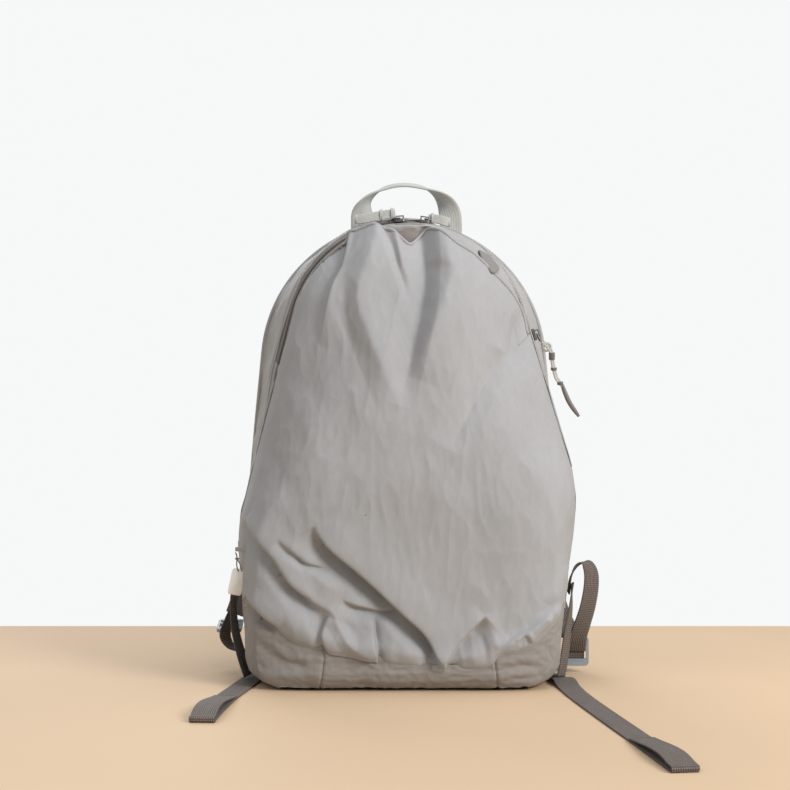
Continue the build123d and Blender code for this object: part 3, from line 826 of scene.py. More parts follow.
GUSSET_COLUMNS = 520


def make_rear_gusset():
    """The cloth behind the main zip."""
    ys = np.linspace(ZIP_Y + ZIP_HALF - 1.5, BACK_PANEL_Y, 34)
    lip = 1.3 * np.exp(-((ys - ys[0]) / 3.0) ** 2) + 0.6
    belly = 3.2 * np.sin(np.clip((ys - ys[0]) / (BACK_PANEL_Y - ys[0]), 0, 1) * pi)
    points = np.array([outline(y, np.linspace(*seam_angles(y), GUSSET_COLUMNS)) for y in ys])
    points = points + radial(points) * (lip + 0.5 * belly)[:, None, None]
    points = crumple(flared(points), 2.2, np.array([38, 26, 38]), 4.2)
    points = crumple(points, 0.8, np.array([13, 11, 13]), 8.3)
    faces = grid_faces(len(ys), GUSSET_COLUMNS, flip=True)
    rear = mesh_object("gusset_rear_cloth", points, faces, GUSSET)
    thicken(rear, 1.2)
    place(rear, "pack", "gusset_nylon", "gusset_rear")


def make_front_gusset():
    """The cloth between the front panel's edge and the main zip."""
    rows = []
    angles = np.linspace(*seam_angles(POCKET_EDGE_Y), GUSSET_COLUMNS)
    edge = panel_reach(np.arctan2(np.sin(angles), np.cos(angles)))
    full = reach(POCKET_EDGE_Y, angles)
    start = np.minimum(edge, full)
    for share in np.linspace(0, 1, 12):
        r = (start - 12) + share * (full - start + 12)
        x = FRONT_CENTRE[0] + r * np.cos(angles)
        z = FRONT_CENTRE[1] + r * np.sin(angles)
        y = front_depth(x, z) + np.interp(r - start, [-12, -3, 1, 8], [8.0, 6.5, 3.0, 0.5])
        behind_notch = np.exp(-((x - 5) / 20) ** 2) * np.clip((z - 425) / 8, 0, 1)
        y += 16.0 * behind_notch * np.clip((full - r) / 10, 0, 1)
        rows.append(np.stack([x, y, z], axis=-1))
    zip_edge = ZIP_Y - ZIP_HALF + 1.5
    for y in np.linspace(POCKET_EDGE_Y + 1, zip_edge, 22):
        lip = 0.6 + np.exp(-((y - zip_edge) / 3.0) ** 2)
        rows.append(outline(y, np.linspace(*seam_angles(y), GUSSET_COLUMNS), lip))
    points = flared(np.array(rows))
    points = crumple(points, 1.6, np.array([30, 22, 34]), 2.4)
    points = crumple(points, 0.5, np.array([10, 9, 12]), 6.1)
    faces = grid_faces(len(rows), GUSSET_COLUMNS, flip=True)
    front = mesh_object("gusset_front_cloth", points, faces, GUSSET)
    thicken(front, 1.0)
    place(front, "pack", "gusset_nylon", "gusset_front")


ZIP_END_REACH_X = 117.0
CLOSING_GRID = (6, 120)  # rows and columns


def make_gusset_closings():
    """The cloth that closes the gap between the gussets below each end of the main zip."""
    rows, columns = CLOSING_GRID
    stop = atan2(ZIP_TAPE_END_Z + 3 - FRONT_CENTRE[1], ZIP_END_REACH_X)
    for side in WAY:
        spans = []
        for y in np.linspace(ZIP_Y - ZIP_HALF - 0.5, ZIP_Y + ZIP_HALF + 1, rows):
            first, last = seam_angles(y)
            ends = (first, stop) if side == "right" else (pi - stop, last)
            spans.append(flared(outline(y, np.linspace(*ends, columns), 1.0)))
        faces = grid_faces(rows, columns, flip=True)
        closing = mesh_object(f"gusset_closing_{side}", np.array(spans), faces, GUSSET)
        thicken(closing, 0.9)
        place(closing, "pack", "gusset_nylon")


PIPING_Y = 63.5
PIPING_STITCH_Y = 58.0


def make_piping():
    """The cord sewn round the back panel's edge, and the stitches beside it."""
    angles = np.linspace(*seam_angles(PIPING_Y), 420)
    path = outline(PIPING_Y, angles, 0.6)
    piping = swept("back_piping_cord", path, radial(path), round_section(2.1, 10), GUSSET)
    place(piping, "pack", "gusset_nylon", "back_piping")
    row = outline(PIPING_STITCH_Y, angles, 1.9)
    stitch_row("piping_stitches", row, radial(row), THREAD, "pack")


BACK_GRID = 221
BACK_EDGE_Y = 66.0
BACK_RIBS_Z = (70, 122, 174, 226, 278, 330)


def make_back_panel():
    """The padded back: mesh over foam, with a spine channel and sewn ribs."""
    x, z, share, _, far = disc_grid(BACK_GRID, lambda angle: reach(BACK_EDGE_Y, angle))
    from_edge = (1 - share) * far
    rounded = np.sqrt(np.clip(1 - (1 - np.clip(from_edge / 15, 0, 1)) ** 2, 0, 1))
    y = BACK_PANEL_Y + (BACK_Y - BACK_PANEL_Y) * rounded
    inside = np.clip((from_edge - 18) / 14, 0, 1)
    spine = np.exp(-((x / 13) ** 2))
    y -= 5.0 * spine * inside
    for rib_z in BACK_RIBS_Z:
        level = rib_z + 10 * np.cos(x / 60)
        y -= 3.4 * np.exp(-((z - level) / 3.0) ** 2) * inside * (1 - spine)
    for side in (-1, 1):
        rail = side * (104 - 0.06 * np.abs(z - 180))
        y -= 3.0 * np.exp(-((x - rail) / 2.6) ** 2) * inside
    points = np.stack([x, y, z], axis=-1)
    panel = mesh_object("back_panel_pad", points, disc_faces(BACK_GRID, True), MESH)
    thicken(panel, 1.4)
    place(panel, "pack", "spacer_mesh", "back_panel_cover", "back_panel_foam")


# ---- base ----------------------------------------------------------------------------------
BASE_ROWS_FRONT = 40
BASE_ROWS_BACK = 34


def base_limits(y):
    """The angles round the base's far centre between which the outline at y is below the seam."""
    angle = np.radians(np.linspace(-115, -65, 2001))
    points = outline(y, angle, 0, BASE_CENTRE)
    below = points[:, 2] < seam_height(points[:, 0])
    return angle[below][0], angle[below][-1]


def seam_reach(angle):
    """Distance from the base's far centre to the sewn seam, along each angle."""
    turn, distance = by_angle(BASE_SEAM, BASE_CENTRE)
    arc_x = BASE_CENTRE[0] + (BASE_CENTRE[1] - 40) * np.cos(angle) / -np.sin(angle)
    plain = (BASE_CENTRE[1] - seam_height(arc_x)) / -np.sin(angle)
    inside = (angle > turn[0]) & (angle < turn[-1])
    return np.where(inside, np.interp(angle, turn, distance), plain)


def make_base():
    """The base's creased cloth, cut into its three panels at the upright seams."""
    columns = 421
    rows = []
    angle = np.linspace(*base_limits(POCKET_EDGE_Y), columns)
    top = np.minimum(seam_reach(angle) - 7, reach(POCKET_EDGE_Y, angle, BASE_CENTRE))
    bottom = reach(POCKET_EDGE_Y, angle, BASE_CENTRE)
    for share in np.linspace(0, 1, BASE_ROWS_FRONT):
        r = top + share * (bottom - top)
        x = BASE_CENTRE[0] + r * np.cos(angle)
        z = BASE_CENTRE[1] + r * np.sin(angle)
        rows.append(np.stack([x, front_depth(x, z), z], axis=-1))
    for y in np.linspace(POCKET_EDGE_Y, BACK_PANEL_Y, BASE_ROWS_BACK + 1)[1:]:
        rows.append(outline(y, np.linspace(*base_limits(y), columns), 0, BASE_CENTRE))
    points = np.array(rows)
    sheet = Sheet(points, -normals_of(points))
    x, z = sheet.x, sheet.z
    front = points[..., 1] < POCKET_EDGE_Y + 5
    sheet.out -= 1.5
    for seam_x in BASE_SEAMS_X:
        at = seam_x + (seam_x - LEAN) * np.clip((30 - z) / 600, 0, 1)
        sheet.out -= 1.6 * np.exp(-((x - at) / 1.4) ** 2) - 0.9 * np.exp(-((x - at) / 9) ** 2)
    sheet.crease([(-152, 80), (-140, 68), (-124, 57)], -8.0, 9, 7, 1.2, (0.3, 0.3))
    sheet.crease([(-140, 12), (-120, 16), (-103, 17), (-78, 18)], 2.4, 9, 10, 1.5)
    sheet.crease([(-150, 58), (-134, 40), (-112, 26), (-84, 24)], -2.2, 10, 10, 2.5)
    sheet.crease([(-128, 44), (-106, 34), (-82, 31)], 1.6, 6, 7, 1.5)
    sheet.crease([(88, 27), (108, 31), (132, 31)], 2.0, 5, 6, 1.2)
    sheet.crease([(90, 15), (112, 18), (130, 19)], 2.2, 5, 6, 1.2)
    sheet.crease([(88, 22), (110, 25), (128, 24)], -1.6, 4, 4, 1.0)
    sheet.crease([(89, 7), (112, 9), (133, 8)], 1.6, 4, 5, 1.0)
    sheet.crease([(134, 46), (144, 34), (148, 20)], -2.0, 8, 8, 2)
    for seam_z in (22, 14, 7):
        sheet.crease([(-72, seam_z), (-20, seam_z - 3), (40, seam_z - 2), (82, seam_z + 1)],
                     0.7, 3, 3, 0.8, (0.2, 0.2))
    sheet.wrinkle(1.1, 40, 0.6, 5.5)
    sheet.wrinkle(0.7, 13, 0.5, 2.2, ridged=True)
    sheet.wrinkle(0.3, 6, 0.7, 8.1)
    bulge = 1.6 * np.exp(-((z - 13) / 9) ** 2)
    sheet.out += np.where(front, bulge, 0)
    shaped = sheet.result()
    shaped[..., 2] = np.maximum(shaped[..., 2], 0.0)
    names = ("left", "centre", "right")
    cuts = [-999.0, *BASE_SEAMS_X, 999.0]
    seam_row = points[BASE_ROWS_FRONT // 2, :, 0]
    for name, low, high in zip(names, cuts, cuts[1:]):
        keep = np.where((seam_row >= low - 1.2) & (seam_row <= high + 0.2))[0]
        part = shaped[:, keep[0]:keep[-1] + 1]
        obj = mesh_object(f"base_{name}_cloth", part, grid_faces(*part.shape[:2]), BASE_SHADED_NYLON)
        thicken(obj, 0.9)
        place(obj, "pack", "base_nylon", f"base_{name}")


# ---- zips ----------------------------------------------------------------------------------
COIL_PITCH = 1.7


def zip_path(count, y, grow):
    """The zip's line over the body at depth y, evenly spaced from end to end."""
    line = flared(outline(y, np.linspace(*seam_angles(y), 600), grow))
    return spline(line[line[:, 2] > ZIP_TAPE_END_Z][::3], count)


def zip_across(count, y):
    """Which way the tapes' width points: straight back, or outwards where the mouth gapes."""
    return zip_path(count, y + 1.5, 0) - zip_path(count, y - 1.5, 0)


def tooth(wide, long, high):
    """One turn of a zip coil: a low arched bar across the zip, along local Y."""
    points = []
    for a in np.linspace(0, pi, 5):
        for dx, dz in ((-1, 0), (0, 1), (1, 0), (0, -1)):
            points.append((dx * wide / 2, -cos(a) * long / 2, sin(a) * high * 0.55 + dz * wide / 2))
    return points, grid_faces(5, 4, False, True)


def make_main_zip():
    """Both tapes, the coil and the stitches beside it."""
    for side, y in (("front", ZIP_Y - 2.9), ("rear", ZIP_Y + 2.9)):
        tape = swept(f"main_zip_tape_{side}", zip_path(240, y, 0.0), zip_across(240, y),
                     ribbon_section(6.2, 0.8), TAPE)
        nodes = ("main_zip_tape",) if side == "front" else ()
        place(tape, "pack", "zip_tape", *nodes)
    count = int(lengths(zip_path(200, ZIP_Y, 0.35))[-1] / COIL_PITCH)
    path = zip_path(count, ZIP_Y, 0.35)
    across = zip_across(count, ZIP_Y)
    across /= np.linalg.norm(across, axis=1, keepdims=True)
    t = tangents(path)
    places = [(p, x, a, np.cross(x, a)) for p, x, a in zip(path, -t, across)]
    coil = repeated("main_zip_coil_teeth", tooth(1.0, 3.4, 1.5), places, COIL)
    place(coil, "pack", "zip_coil", "main_zip_coil")
    for side, y in (("front", ZIP_Y - ZIP_HALF - 2), ("rear", ZIP_Y + ZIP_HALF + 3)):
        row = flared(outline(y, np.linspace(*seam_angles(y), 300), 2.2))
        row = row[row[:, 2] > ZIP_TAPE_END_Z]
        stitch_row(f"main_zip_stitches_{side}", row, radial(row), THREAD, "pack")


# ---- handle --------------------------------------------------------------------------------
HANDLE_Y = 42.0
HANDLE_WEB = 23.0
HANDLE_THICK = 2.6
# how many degrees the webbing is turned away from the front, at shares of its length
HANDLE_TURNS = ([0, 0.13, 0.2, 0.26, 0.36, 0.62, 0.70, 0.77, 0.86, 1],
                [0, 0, 61, 84, 103, 103, 82, 50, 4, 0])
HANDLE_LINE = [(-43, 452), (-43.2, 464), (-42.6, 476), (-37.5, 489.5), (-27, 498.5), (-12, 504.3),
               (4, 505.6), (20, 503.0), (34, 496.5), (44, 486.5), (49, 475), (50, 464), (50, 452)]


def make_handle():
    """Webbing that faces the front at its feet and turns edge-on over the top."""
    flat = spline(HANDLE_LINE, 121)
    run = lengths(flat) / lengths(flat)[-1]
    turn = np.radians(np.interp(run, *HANDLE_TURNS))
    turn = np.convolve(np.pad(turn, 5, "edge"), np.ones(11) / 11, "valid")
    path = np.stack([flat[:, 0], np.full(len(flat), HANDLE_Y), flat[:, 1]], axis=1)
    t = tangents(path)
    inside = np.stack([t[:, 2], np.zeros(len(t)), -t[:, 0]], axis=1)
    across = np.cos(turn)[:, None] * inside + np.sin(turn)[:, None] * np.array([0, 1.0, 0])
    handle = swept("grab_handle", path, across, ribbon_section(HANDLE_WEB, HANDLE_THICK, 4), LIGHT_WEB)
    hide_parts("handle", "handle_feet")
    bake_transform(handle)


# ---- webbing -------------------------------------------------------------------------------
def web_path(points, count=90):
    """A smooth ribbon line from (x, y, z, degrees its width is turned out of the Y direction)."""
    dense = spline(points, count)
    turn = np.radians(dense[:, 3])
    across = np.stack([np.sin(turn), np.cos(turn), np.zeros(count)], axis=1)
    return dense[:, :3], across


# loops and drops as web_path takes them; tails as (x, y, z); arch is how high the folded end rises
SIDE_WEBS = {
    "left": {
        "loop": [(-168, 16, 92, 0), (-173, 16, 74, 8), (-180, 14, 54, 20), (-183, 12, 40, 26),
                 (-178, 12, 30, 18), (-169, 14, 25, 6), (-163, 16, 24, 0)],
        "drop": [(-170.5, -12, 98, 4), (-172, -14, 78, 10), (-170, -17, 52, 14), (-163, -20, 24, 18),
                 (-156, -21, 4, 20)],
        "tail": [(-148, 4, 1.0), (-152, -22, 1.0), (-160, -72, 0.9), (-168, -122, 0.9), (-174, -180, 0.9),
                 (-177, -228, 0.9)],
        "arch": 6.5,
    },
    "right": {
        "loop": [(168.5, 4, 84, 0), (171, 3, 100, 6), (177, 1, 112, 20), (185, -2, 115.5, 38),
                 (190.5, -4, 106, 50), (190.5, -5, 90, 56), (187, -4, 70, 60), (182, 0, 52, 68),
                 (178.5, 7, 38, 78), (178, 15, 28, 88), (178, 19.5, 22, 90)],
        "drop": [(170.5, -14, 96, 0), (168.5, -19, 74, 14), (164.5, -22, 46, 26), (161, -24, 20, 29),
                 (158, -25, 4, 30)],
        "tail": [(149, 2, 1.0), (153, -20, 1.4), (158.5, -44, 4.6), (161, -70, 1.6), (167, -122, 0.9),
                 (181, -214, 0.9), (195, -301, 0.9), (204, -360, 0.9), (211, -408, 0.9)],
        "arch": 5.0,
    },
}
TAIL_FOLD = 108.0
TAIL_WEB = 23.0
FOLD_RADIUS = 2.0
LOCK_WRAP = [(178, 20.8, 28), (178, 21.6, 20.5), (178, 22.8, 13.5)]
LOCK_WRAP_WIDTH = 17.5


def make_side_webbing(side):
    """One side's webbing: the loop to the ladder lock, the drop down the side and the tail."""
    spec = SIDE_WEBS[side]
    for kind in ("loop", "drop"):
        path, across = web_path(spec[kind])
        web = swept(f"webbing_{kind}_{side}", path, across, ribbon_section(WEB, WEB_THICK), DARK_WEB)
        place(web, "pack", "dark_webbing", f"web_{kind}_{side}")
    make_tail(side, spec["tail"], spec["arch"])


def make_lock_wrap():
    """The webbing's turn round the bar of the right ladder lock."""
    section = ribbon_section(LOCK_WRAP_WIDTH, WEB_THICK)
    wrap = swept("webbing_wrap_right", spline(LOCK_WRAP, 20), (1, 0, 0), section, DARK_WEB)
    place(wrap, "lock_right", "dark_webbing")


def make_tail(side, points, arch):
    """A webbing tail flat on the table, folded back over itself and sewn across."""
    lower = spline(points, 110)
    way = lower[-1] - lower[-4]
    way /= np.linalg.norm(way)
    turn = [lower[-1] + way * FOLD_RADIUS * sin(a) + np.array([0, 0, FOLD_RADIUS * (1 - cos(a))])
            for a in np.linspace(0.3, pi, 7)]
    run = lengths(lower)
    back = lower[run > run[-1] - TAIL_FOLD][::-1].copy()
    share = np.linspace(0, 1, len(back))
    back[:, 2] = 2.6 + arch * np.sin(pi * np.clip(share, 0, 1) ** 0.62) ** 1.2
    back[:6, 2] = np.maximum(back[:6, 2], 2 * FOLD_RADIUS)
    path = spline(np.vstack([lower[::6], turn, back[2::5], back[-1:]]), 260)
    flat = np.gradient(path[:, :2], axis=0)
    side_way = np.array([-way[1], way[0], 0])
    across = np.stack([-flat[:, 1], flat[:, 0], np.zeros(len(path))], axis=1)
    across *= np.where(across @ side_way < 0, -1, 1)[:, None]
    size = np.linalg.norm(across, axis=1, keepdims=True)
    across = np.where(size > 0.25, across / np.maximum(size, 1e-6), side_way)
    tail = swept(f"webbing_tail_{side}", path, across, ribbon_section(TAIL_WEB, 1.5), DARK_WEB)
    place(tail, "pack", "dark_webbing", f"web_tail_{side}", f"tail_hem_{side}")
    for i, spot in enumerate((back[-1] + way * 2.0, back[-1] + way * 5.5)):
        line = [spot + side_way * (WEB / 2 - 2) * k + np.array([0, 0, 1.05]) for k in (-1, 0, 1)]
        stitch_row(f"tail_stitches_{side}_{i}", line, (0, 0, 1), DARK_THREAD, "pack", 2.4)


def make_anchor_tab(side):
    """The folded triangle of base cloth that holds the webbing to the pack's side seam."""
    node = f"anchor_tab_{side}"
    low, high = corners_of(node)
    way = WAY[side]
    wall, tip = (high[0], low[0]) if side == "left" else (low[0], high[0])
    middle = (low[1] + high[1]) / 2
    rows = []
    turns, steps = 40, 9
    for t in circle(turns):
        y = middle + (high[1] - low[1]) / 2 * cos(t)
        row = []
        for s in np.linspace(0, 1, steps):
            height = 0.5 + 0.5 * sin(t) * (1 - 0.62 * s)
            row.append((wall + way + (tip - wall - way) * s, y + 0.25 * (middle - y) * s,
                        low[2] + 8 + (high[2] - low[2] - 12) * height))
        rows.append(row)
    faces = grid_faces(turns, steps, True, False, flip=side == "left")
    faces.append(tuple(i * steps + steps - 1 for i in range(turns)))
    faces.append(tuple(i * steps for i in range(turns))[::-1])
    tab = mesh_object(f"anchor_cloth_{side}", np.array(rows), faces, BASE_SHADED_NYLON)
    place(tab, "pack", "base_nylon", node)


# ---- zip sliders, pulls and small trim -------------------------------------------------------
def painted(node, material):
    """A CAD node whose shape is right keeps it and gets its finish."""
    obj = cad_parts[node]
    obj.data.materials.clear()
    obj.data.materials.append(material)


def make_top_pull(side):
    """A flat tape folded through the ring, with its end curled and one or two keepers."""
    low, high = corners_of(f"pull_tape_{side}")
    way = WAY[side]
    near, far = (high, low) if way < 0 else (low, high)
    y = (low[1] + high[1]) / 2
    start, end = near[0] - way * 4, far[0] - way * 1
    top = high[2] - 4.6
    drop, rise = (-2.0, 4.2) if side == "left" else (-3.4, 0.4)
    line = [(start, y, top + rise), (start + (end - start) * 0.4, y - 0.4, top - 0.2 + 0.5 * rise),
            (start + (end - start) * 0.75, y - 0.8, top + drop * 0.6), (end, y - 0.2, top + drop)]
    for layer, offset in (("front", -1.1), ("back", 1.1)):
        path = spline(line + np.outer([1, 1, 1, 0.55], (0, offset, 0)), 40)
        tape = swept(f"pull_tape_{side}_{layer}", path, (0, 0, 1), ribbon_section(9.0, 1.0), PULL_WEB)
        nodes = (f"pull_tape_{side}",) if layer == "front" else ()
        place(tape, f"pull_{side}", "pull_tape", *nodes)
    curl = swept(f"pull_end_{side}", [(end, y - 0.2, top + drop - 4.6), (end, y - 0.2, top + drop + 4.6)],
                 (1, 0, 0), round_section(1.5, 10), PULL_WEB)
    place(curl, f"pull_{side}", "pull_tape")
    bars = (0.08, 0.36) if side == "left" else (0.2,)
    for i, share in enumerate(bars):
        x = start + (end - start) * share
        middle = top + rise * (1 - 1.2 * share)
        loop = [(x, y + 2.9 * cos(a), middle + 5.6 * sin(a)) for a in circle(24)]
        band = ribbon_section(3.0, 0.9)
        keeper = swept(f"pull_keeper_{side}_{i}", loop, (1, 0, 0), band, PULL_WEB, closed=True)
        nodes = (f"pull_keeper_{side}",) if i == 0 else ()
        place(keeper, f"pull_{side}", "pull_tape", *nodes)


# the strands and the tab, in x and z from the ring
SIDE_PULL_DROP = [(4, -4), (10, -10), (13, -15), (14.5, -26), (18, -40), (24.5, -49)]
SIDE_TAB = [(24, -48), (27, -56), (32, -67), (41, -80)]
# where each binding sits, in x and z from the ring, and how tall it is
SIDE_BINDINGS = ((13.6, -19, 7.5), (15.6, -32, 3.0), (22, -46.5, 3.5))


def make_side_pull():
    """The side zip's pull: two cord strands from the ring, bound together, with a curved tab."""
    ring_at = sum(corners_of("zip_ring_side")) / 2
    for i, spread in enumerate((-1.3, 1.3)):
        offset = ring_at + np.array([0.6, 0.6, 0.5]) * spread
        path = spline([offset + (x, 0, z) for x, z in SIDE_PULL_DROP], 70)
        strand = swept(f"side_pull_strand_{i}", path, (0, 1, 0), round_section(1.25, 10), PULL_WEB)
        nodes = ("pull_tape_side",) if i == 0 else ()
        place(strand, "pull_side", "pull_tape", *nodes)
    start, stop = (ring_at + (x, 0, z) for x, z in (SIDE_PULL_DROP[0], SIDE_PULL_DROP[2]))
    middle, turns = (start + stop) / 2, circle(24)
    eye = [middle + np.array([4.4 * cos(a), 1.2 * sin(2 * a), 4.0 * sin(a)]) for a in turns]
    loop = swept("side_pull_eye", eye, (0, 1, 0), round_section(1.1, 8), PULL_WEB, closed=True)
    place(loop, "pull_side", "pull_tape")
    for i, (x, z, tall) in enumerate(SIDE_BINDINGS):
        middle = ring_at + np.array([x, 0, z])
        knot = [middle + np.array([2.5 * cos(a), 2.1 * sin(a), 0.3 * cos(2 * a)]) for a in turns]
        band = ribbon_section(tall, 1.2)
        bound = swept(f"side_pull_binding_{i}", knot, (0, 0, 1), band, DARK_THREAD, closed=True)
        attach(bound, "pull_side")
    path = spline([ring_at + (x, 0, z) for x, z in SIDE_TAB], 44)
    share = np.linspace(0, 1, 44)
    size = 0.62 + 0.38 * np.sin(pi * np.clip(share * 1.05, 0, 1)) ** 0.5
    base = np.array([(3.0 * squared(cos(a), 0.7), 2.4 * squared(sin(a), 0.7)) for a in circle(16)])
    tab = swept("side_pull_tab", path, (0, 1, 0), base[None] * size[:, None, None], COIL)
    place(tab, "pull_side", "zip_metal", "pull_tab_side")


def side_wall(z, y=SIDE_ZIP_Y):
    """The x of the right wall at height z."""
    angles = np.radians(np.linspace(-60, 90, 400))
    points = outline(y, angles)
    return np.interp(z, points[:, 2], points[:, 0])


def make_side_zip():
    """The front pocket's zip down the right side: tapes, coil and a welt either side."""
    z = np.linspace(*SIDE_ZIP_Z, 90)
    for i, offset in enumerate((-2.7, 2.7)):
        y = SIDE_ZIP_Y + offset
        path = np.stack([side_wall(z, y) + 1.4, np.full_like(z, y), z], axis=1)
        tape = swept(f"side_zip_tape_{i}", path, (0, 1, 0), ribbon_section(4.8, 0.8), TAPE)
        nodes = ("side_zip_tape",) if i == 0 else ()
        place(tape, "pack", "zip_tape", *nodes)
    z = np.arange(SIDE_ZIP_Z[0] - 2, SIDE_ZIP_Z[1] + 1, -COIL_PITCH)
    path = np.stack([side_wall(z) + 1.7, np.full_like(z, SIDE_ZIP_Y), z], axis=1)
    places = [(p, x, (0, 1, 0), np.cross(x, (0, 1, 0))) for p, x in zip(path, tangents(path))]
    coil = repeated("side_zip_coil_teeth", tooth(1.0, 3.2, 1.4), places, COIL)
    place(coil, "pack", "zip_coil", "side_zip_coil")
    for i, y in enumerate((SIDE_ZIP_Y - 5.6, SIDE_ZIP_Y + 5.6)):
        z = np.linspace(SIDE_ZIP_Z[0] + 4, SIDE_ZIP_Z[1] - 4, 90)
        path = np.stack([side_wall(z, y) + 1.3, np.full_like(z, y), z], axis=1)
        welt = swept(f"side_zip_welt_{i}", path, (0, 1, 0), ribbon_section(3.0, 1.7, 4), GUSSET)
        place(welt, "pack", "gusset_nylon")


# the tab's two ends in x and z
GARAGE_ENDS = ((76, 431), (93, 409))
GARAGE_WIDTH = 10.5


def make_garage():
    """The little folded tab of cloth beside the front panel's edge that parks the right slider."""
    (x0, z0), (x1, z1) = GARAGE_ENDS
    length = hypot(x1 - x0, z1 - z0)
    ux, uz = (x1 - x0) / length, (z1 - z0) / length
    rows = []
    for t in np.linspace(0, 1, 22):
        half = GARAGE_WIDTH / 2 * min(1.0, 2.6 * t + 0.05) * min(1.0, 7 * (1 - t) + 0.45)
        row = []
        for w in np.linspace(-1, 1, 13):
            x = x0 + ux * length * t - uz * half * w
            z = z0 + uz * length * t + ux * half * w
            row.append((x, front_depth(x, z) - 1.2 - 1.6 * (1 - w**4), z))
        rows.append(row)
    faces = grid_faces(len(rows), len(row))
    tab = mesh_object("garage_cloth", np.array(rows, float), faces, GARAGE)
    thicken(tab, 1.4, 0)
    place(tab, "pack", "gusset_nylon", "garage_tab")


# ---- tag -------------------------------------------------------------------------------------
TAG_TILT = radians(-12)
TAG_SIZE = (13.5, 26.0, 1.5, 2.6)  # width, height, thickness and the corners' radius


def make_tag():
    """A small white plate with rounded corners on a doubled cord."""
    low, high = corners_of("tag_plate")
    middle = (low + high) / 2 + np.array([1.8, -2.0, 1.5])
    wide, tall, thick, corner = TAG_SIZE
    rim = []
    for cx, cz, start in ((1, 1, 0), (-1, 1, 90), (-1, -1, 180), (1, -1, 270)):
        for a in np.radians(np.linspace(start, start + 90, 7)):
            rim.append((cx * (wide / 2 - corner) + corner * cos(a),
                        cz * (tall / 2 - corner) + corner * sin(a)))
    layers = [(-thick / 2, 0.93), (-thick / 2 + 0.35, 1.0), (thick / 2 - 0.35, 1.0), (thick / 2, 0.93)]
    points = np.array([[(x * k, y, z * k) for x, z in rim] for y, k in layers])
    x, z = points[..., 0].copy(), points[..., 2].copy()
    points[..., 0] = x * cos(TAG_TILT) - z * sin(TAG_TILT)
    points[..., 2] = x * sin(TAG_TILT) + z * cos(TAG_TILT)
    points[..., 1] -= 0.010 * points[..., 0] ** 2 - 0.12 * points[..., 0]
    points += middle
    plate = mesh_object("tag_card", points, tube_faces(len(layers), len(rim)), WHITE)
    place(plate, "tag", "tag_white", "tag_plate")
    top = middle + np.array([3.4, -0.6, 10.5])
    cord_low, cord_high = corners_of("tag_cord")
    anchor = np.array([cord_low[0] + 1.0, middle[1] + 1.5, cord_high[2]])
    knot = (top + 2 * anchor) / 3
    lines = {
        "left": [top + (-1.8, -0.9, 0), (top + knot) / 2 + (-1.9, -0.6, 0), knot],
        "right": [top + (1.6, -0.9, 0), (top + knot) / 2 + (1.7, -0.6, 0), knot],
        "up": [knot + (0, 0, -1), (knot + anchor) / 2 + (0.4, 0, 0), anchor],
    }
    for name, line in lines.items():
        strand = swept(f"tag_cord_{name}", spline(line, 24), (1, 0, 0), round_section(0.65, 8), CORD)
        nodes = ("tag_cord",) if name == "up" else ()
        place(strand, "tag", "tag_cord", *nodes)
    bead = [knot + np.array([1.3 * cos(a), 1.2 * sin(a), 0]) for a in circle(12)]
    tied = swept("tag_cord_knot", bead, (0, 0, 1), round_section(1.0, 8), CORD, closed=True)
    place(tied, "tag", "tag_cord")


def make_tag_loop():
    """The short folded tape, sewn into the side, that the tag's cord is tied to."""
    low, high = corners_of("tag_bartack")
    y, z = (low[1] + high[1]) / 2, (low[2] + high[2]) / 2
    line = [(high[0], y + 2, z), (low[0] + 3, y + 1.2, z), (low[0] + 0.8, y, z), (low[0] + 3, y - 1.2, z),
            (high[0], y - 2, z)]
    loop = swept("tag_loop_tape", spline(line, 60), (0, 0, 1), ribbon_section(4.2, 1.0), GUSSET)
    place(loop, "pack", "gusset_nylon", "tag_bartack")


# ---- shoulder straps -------------------------------------------------------------------------
# strap lines are (how far it stands off the back, how far down it is); locks are (x, z)
STRAP_ANCHOR = (48.0, 86.0, 438.0)
STRAP_PATH = [(0, 0), (26, 70), (34, 170), (22, 280), (2, 345)]
LOCKS = {"left": (-183.0, 42.0), "right": (178.0, 22.0)}
STRAP_ENDS = {"left": [(2, 338), (0, 366), (-3, 390), (-8, 408)],
              "right": [(2, 338), (1, 372), (-3, 395), (-14, 407), (-34, 413), (-60, 419)]}
STRAP_WIDTH, STRAP_THICK = 54.0, 10.0


def strap_axes(side):
    """The strap's top anchor, the way down along it and the way across it."""
    x, y, z = STRAP_ANCHOR
    way = WAY[side]
    lock_x, lock_z = LOCKS[side]
    lean = asin((abs(lock_x) - x) / hypot(abs(lock_x) - x, z - lock_z))
    down = np.array([way * sin(lean), 0, -cos(lean)])
    return np.array([way * x, y, z]), down, np.array([cos(lean), 0, way * sin(lean)])


def strap_line(side, points, count):
    """A path down one strap, and the way across it."""
    origin, down, across = strap_axes(side)
    dense = spline(points, count)
    return origin + dense[:, 1:] * down + dense[:, :1] * np.array([0, 1, 0]), across


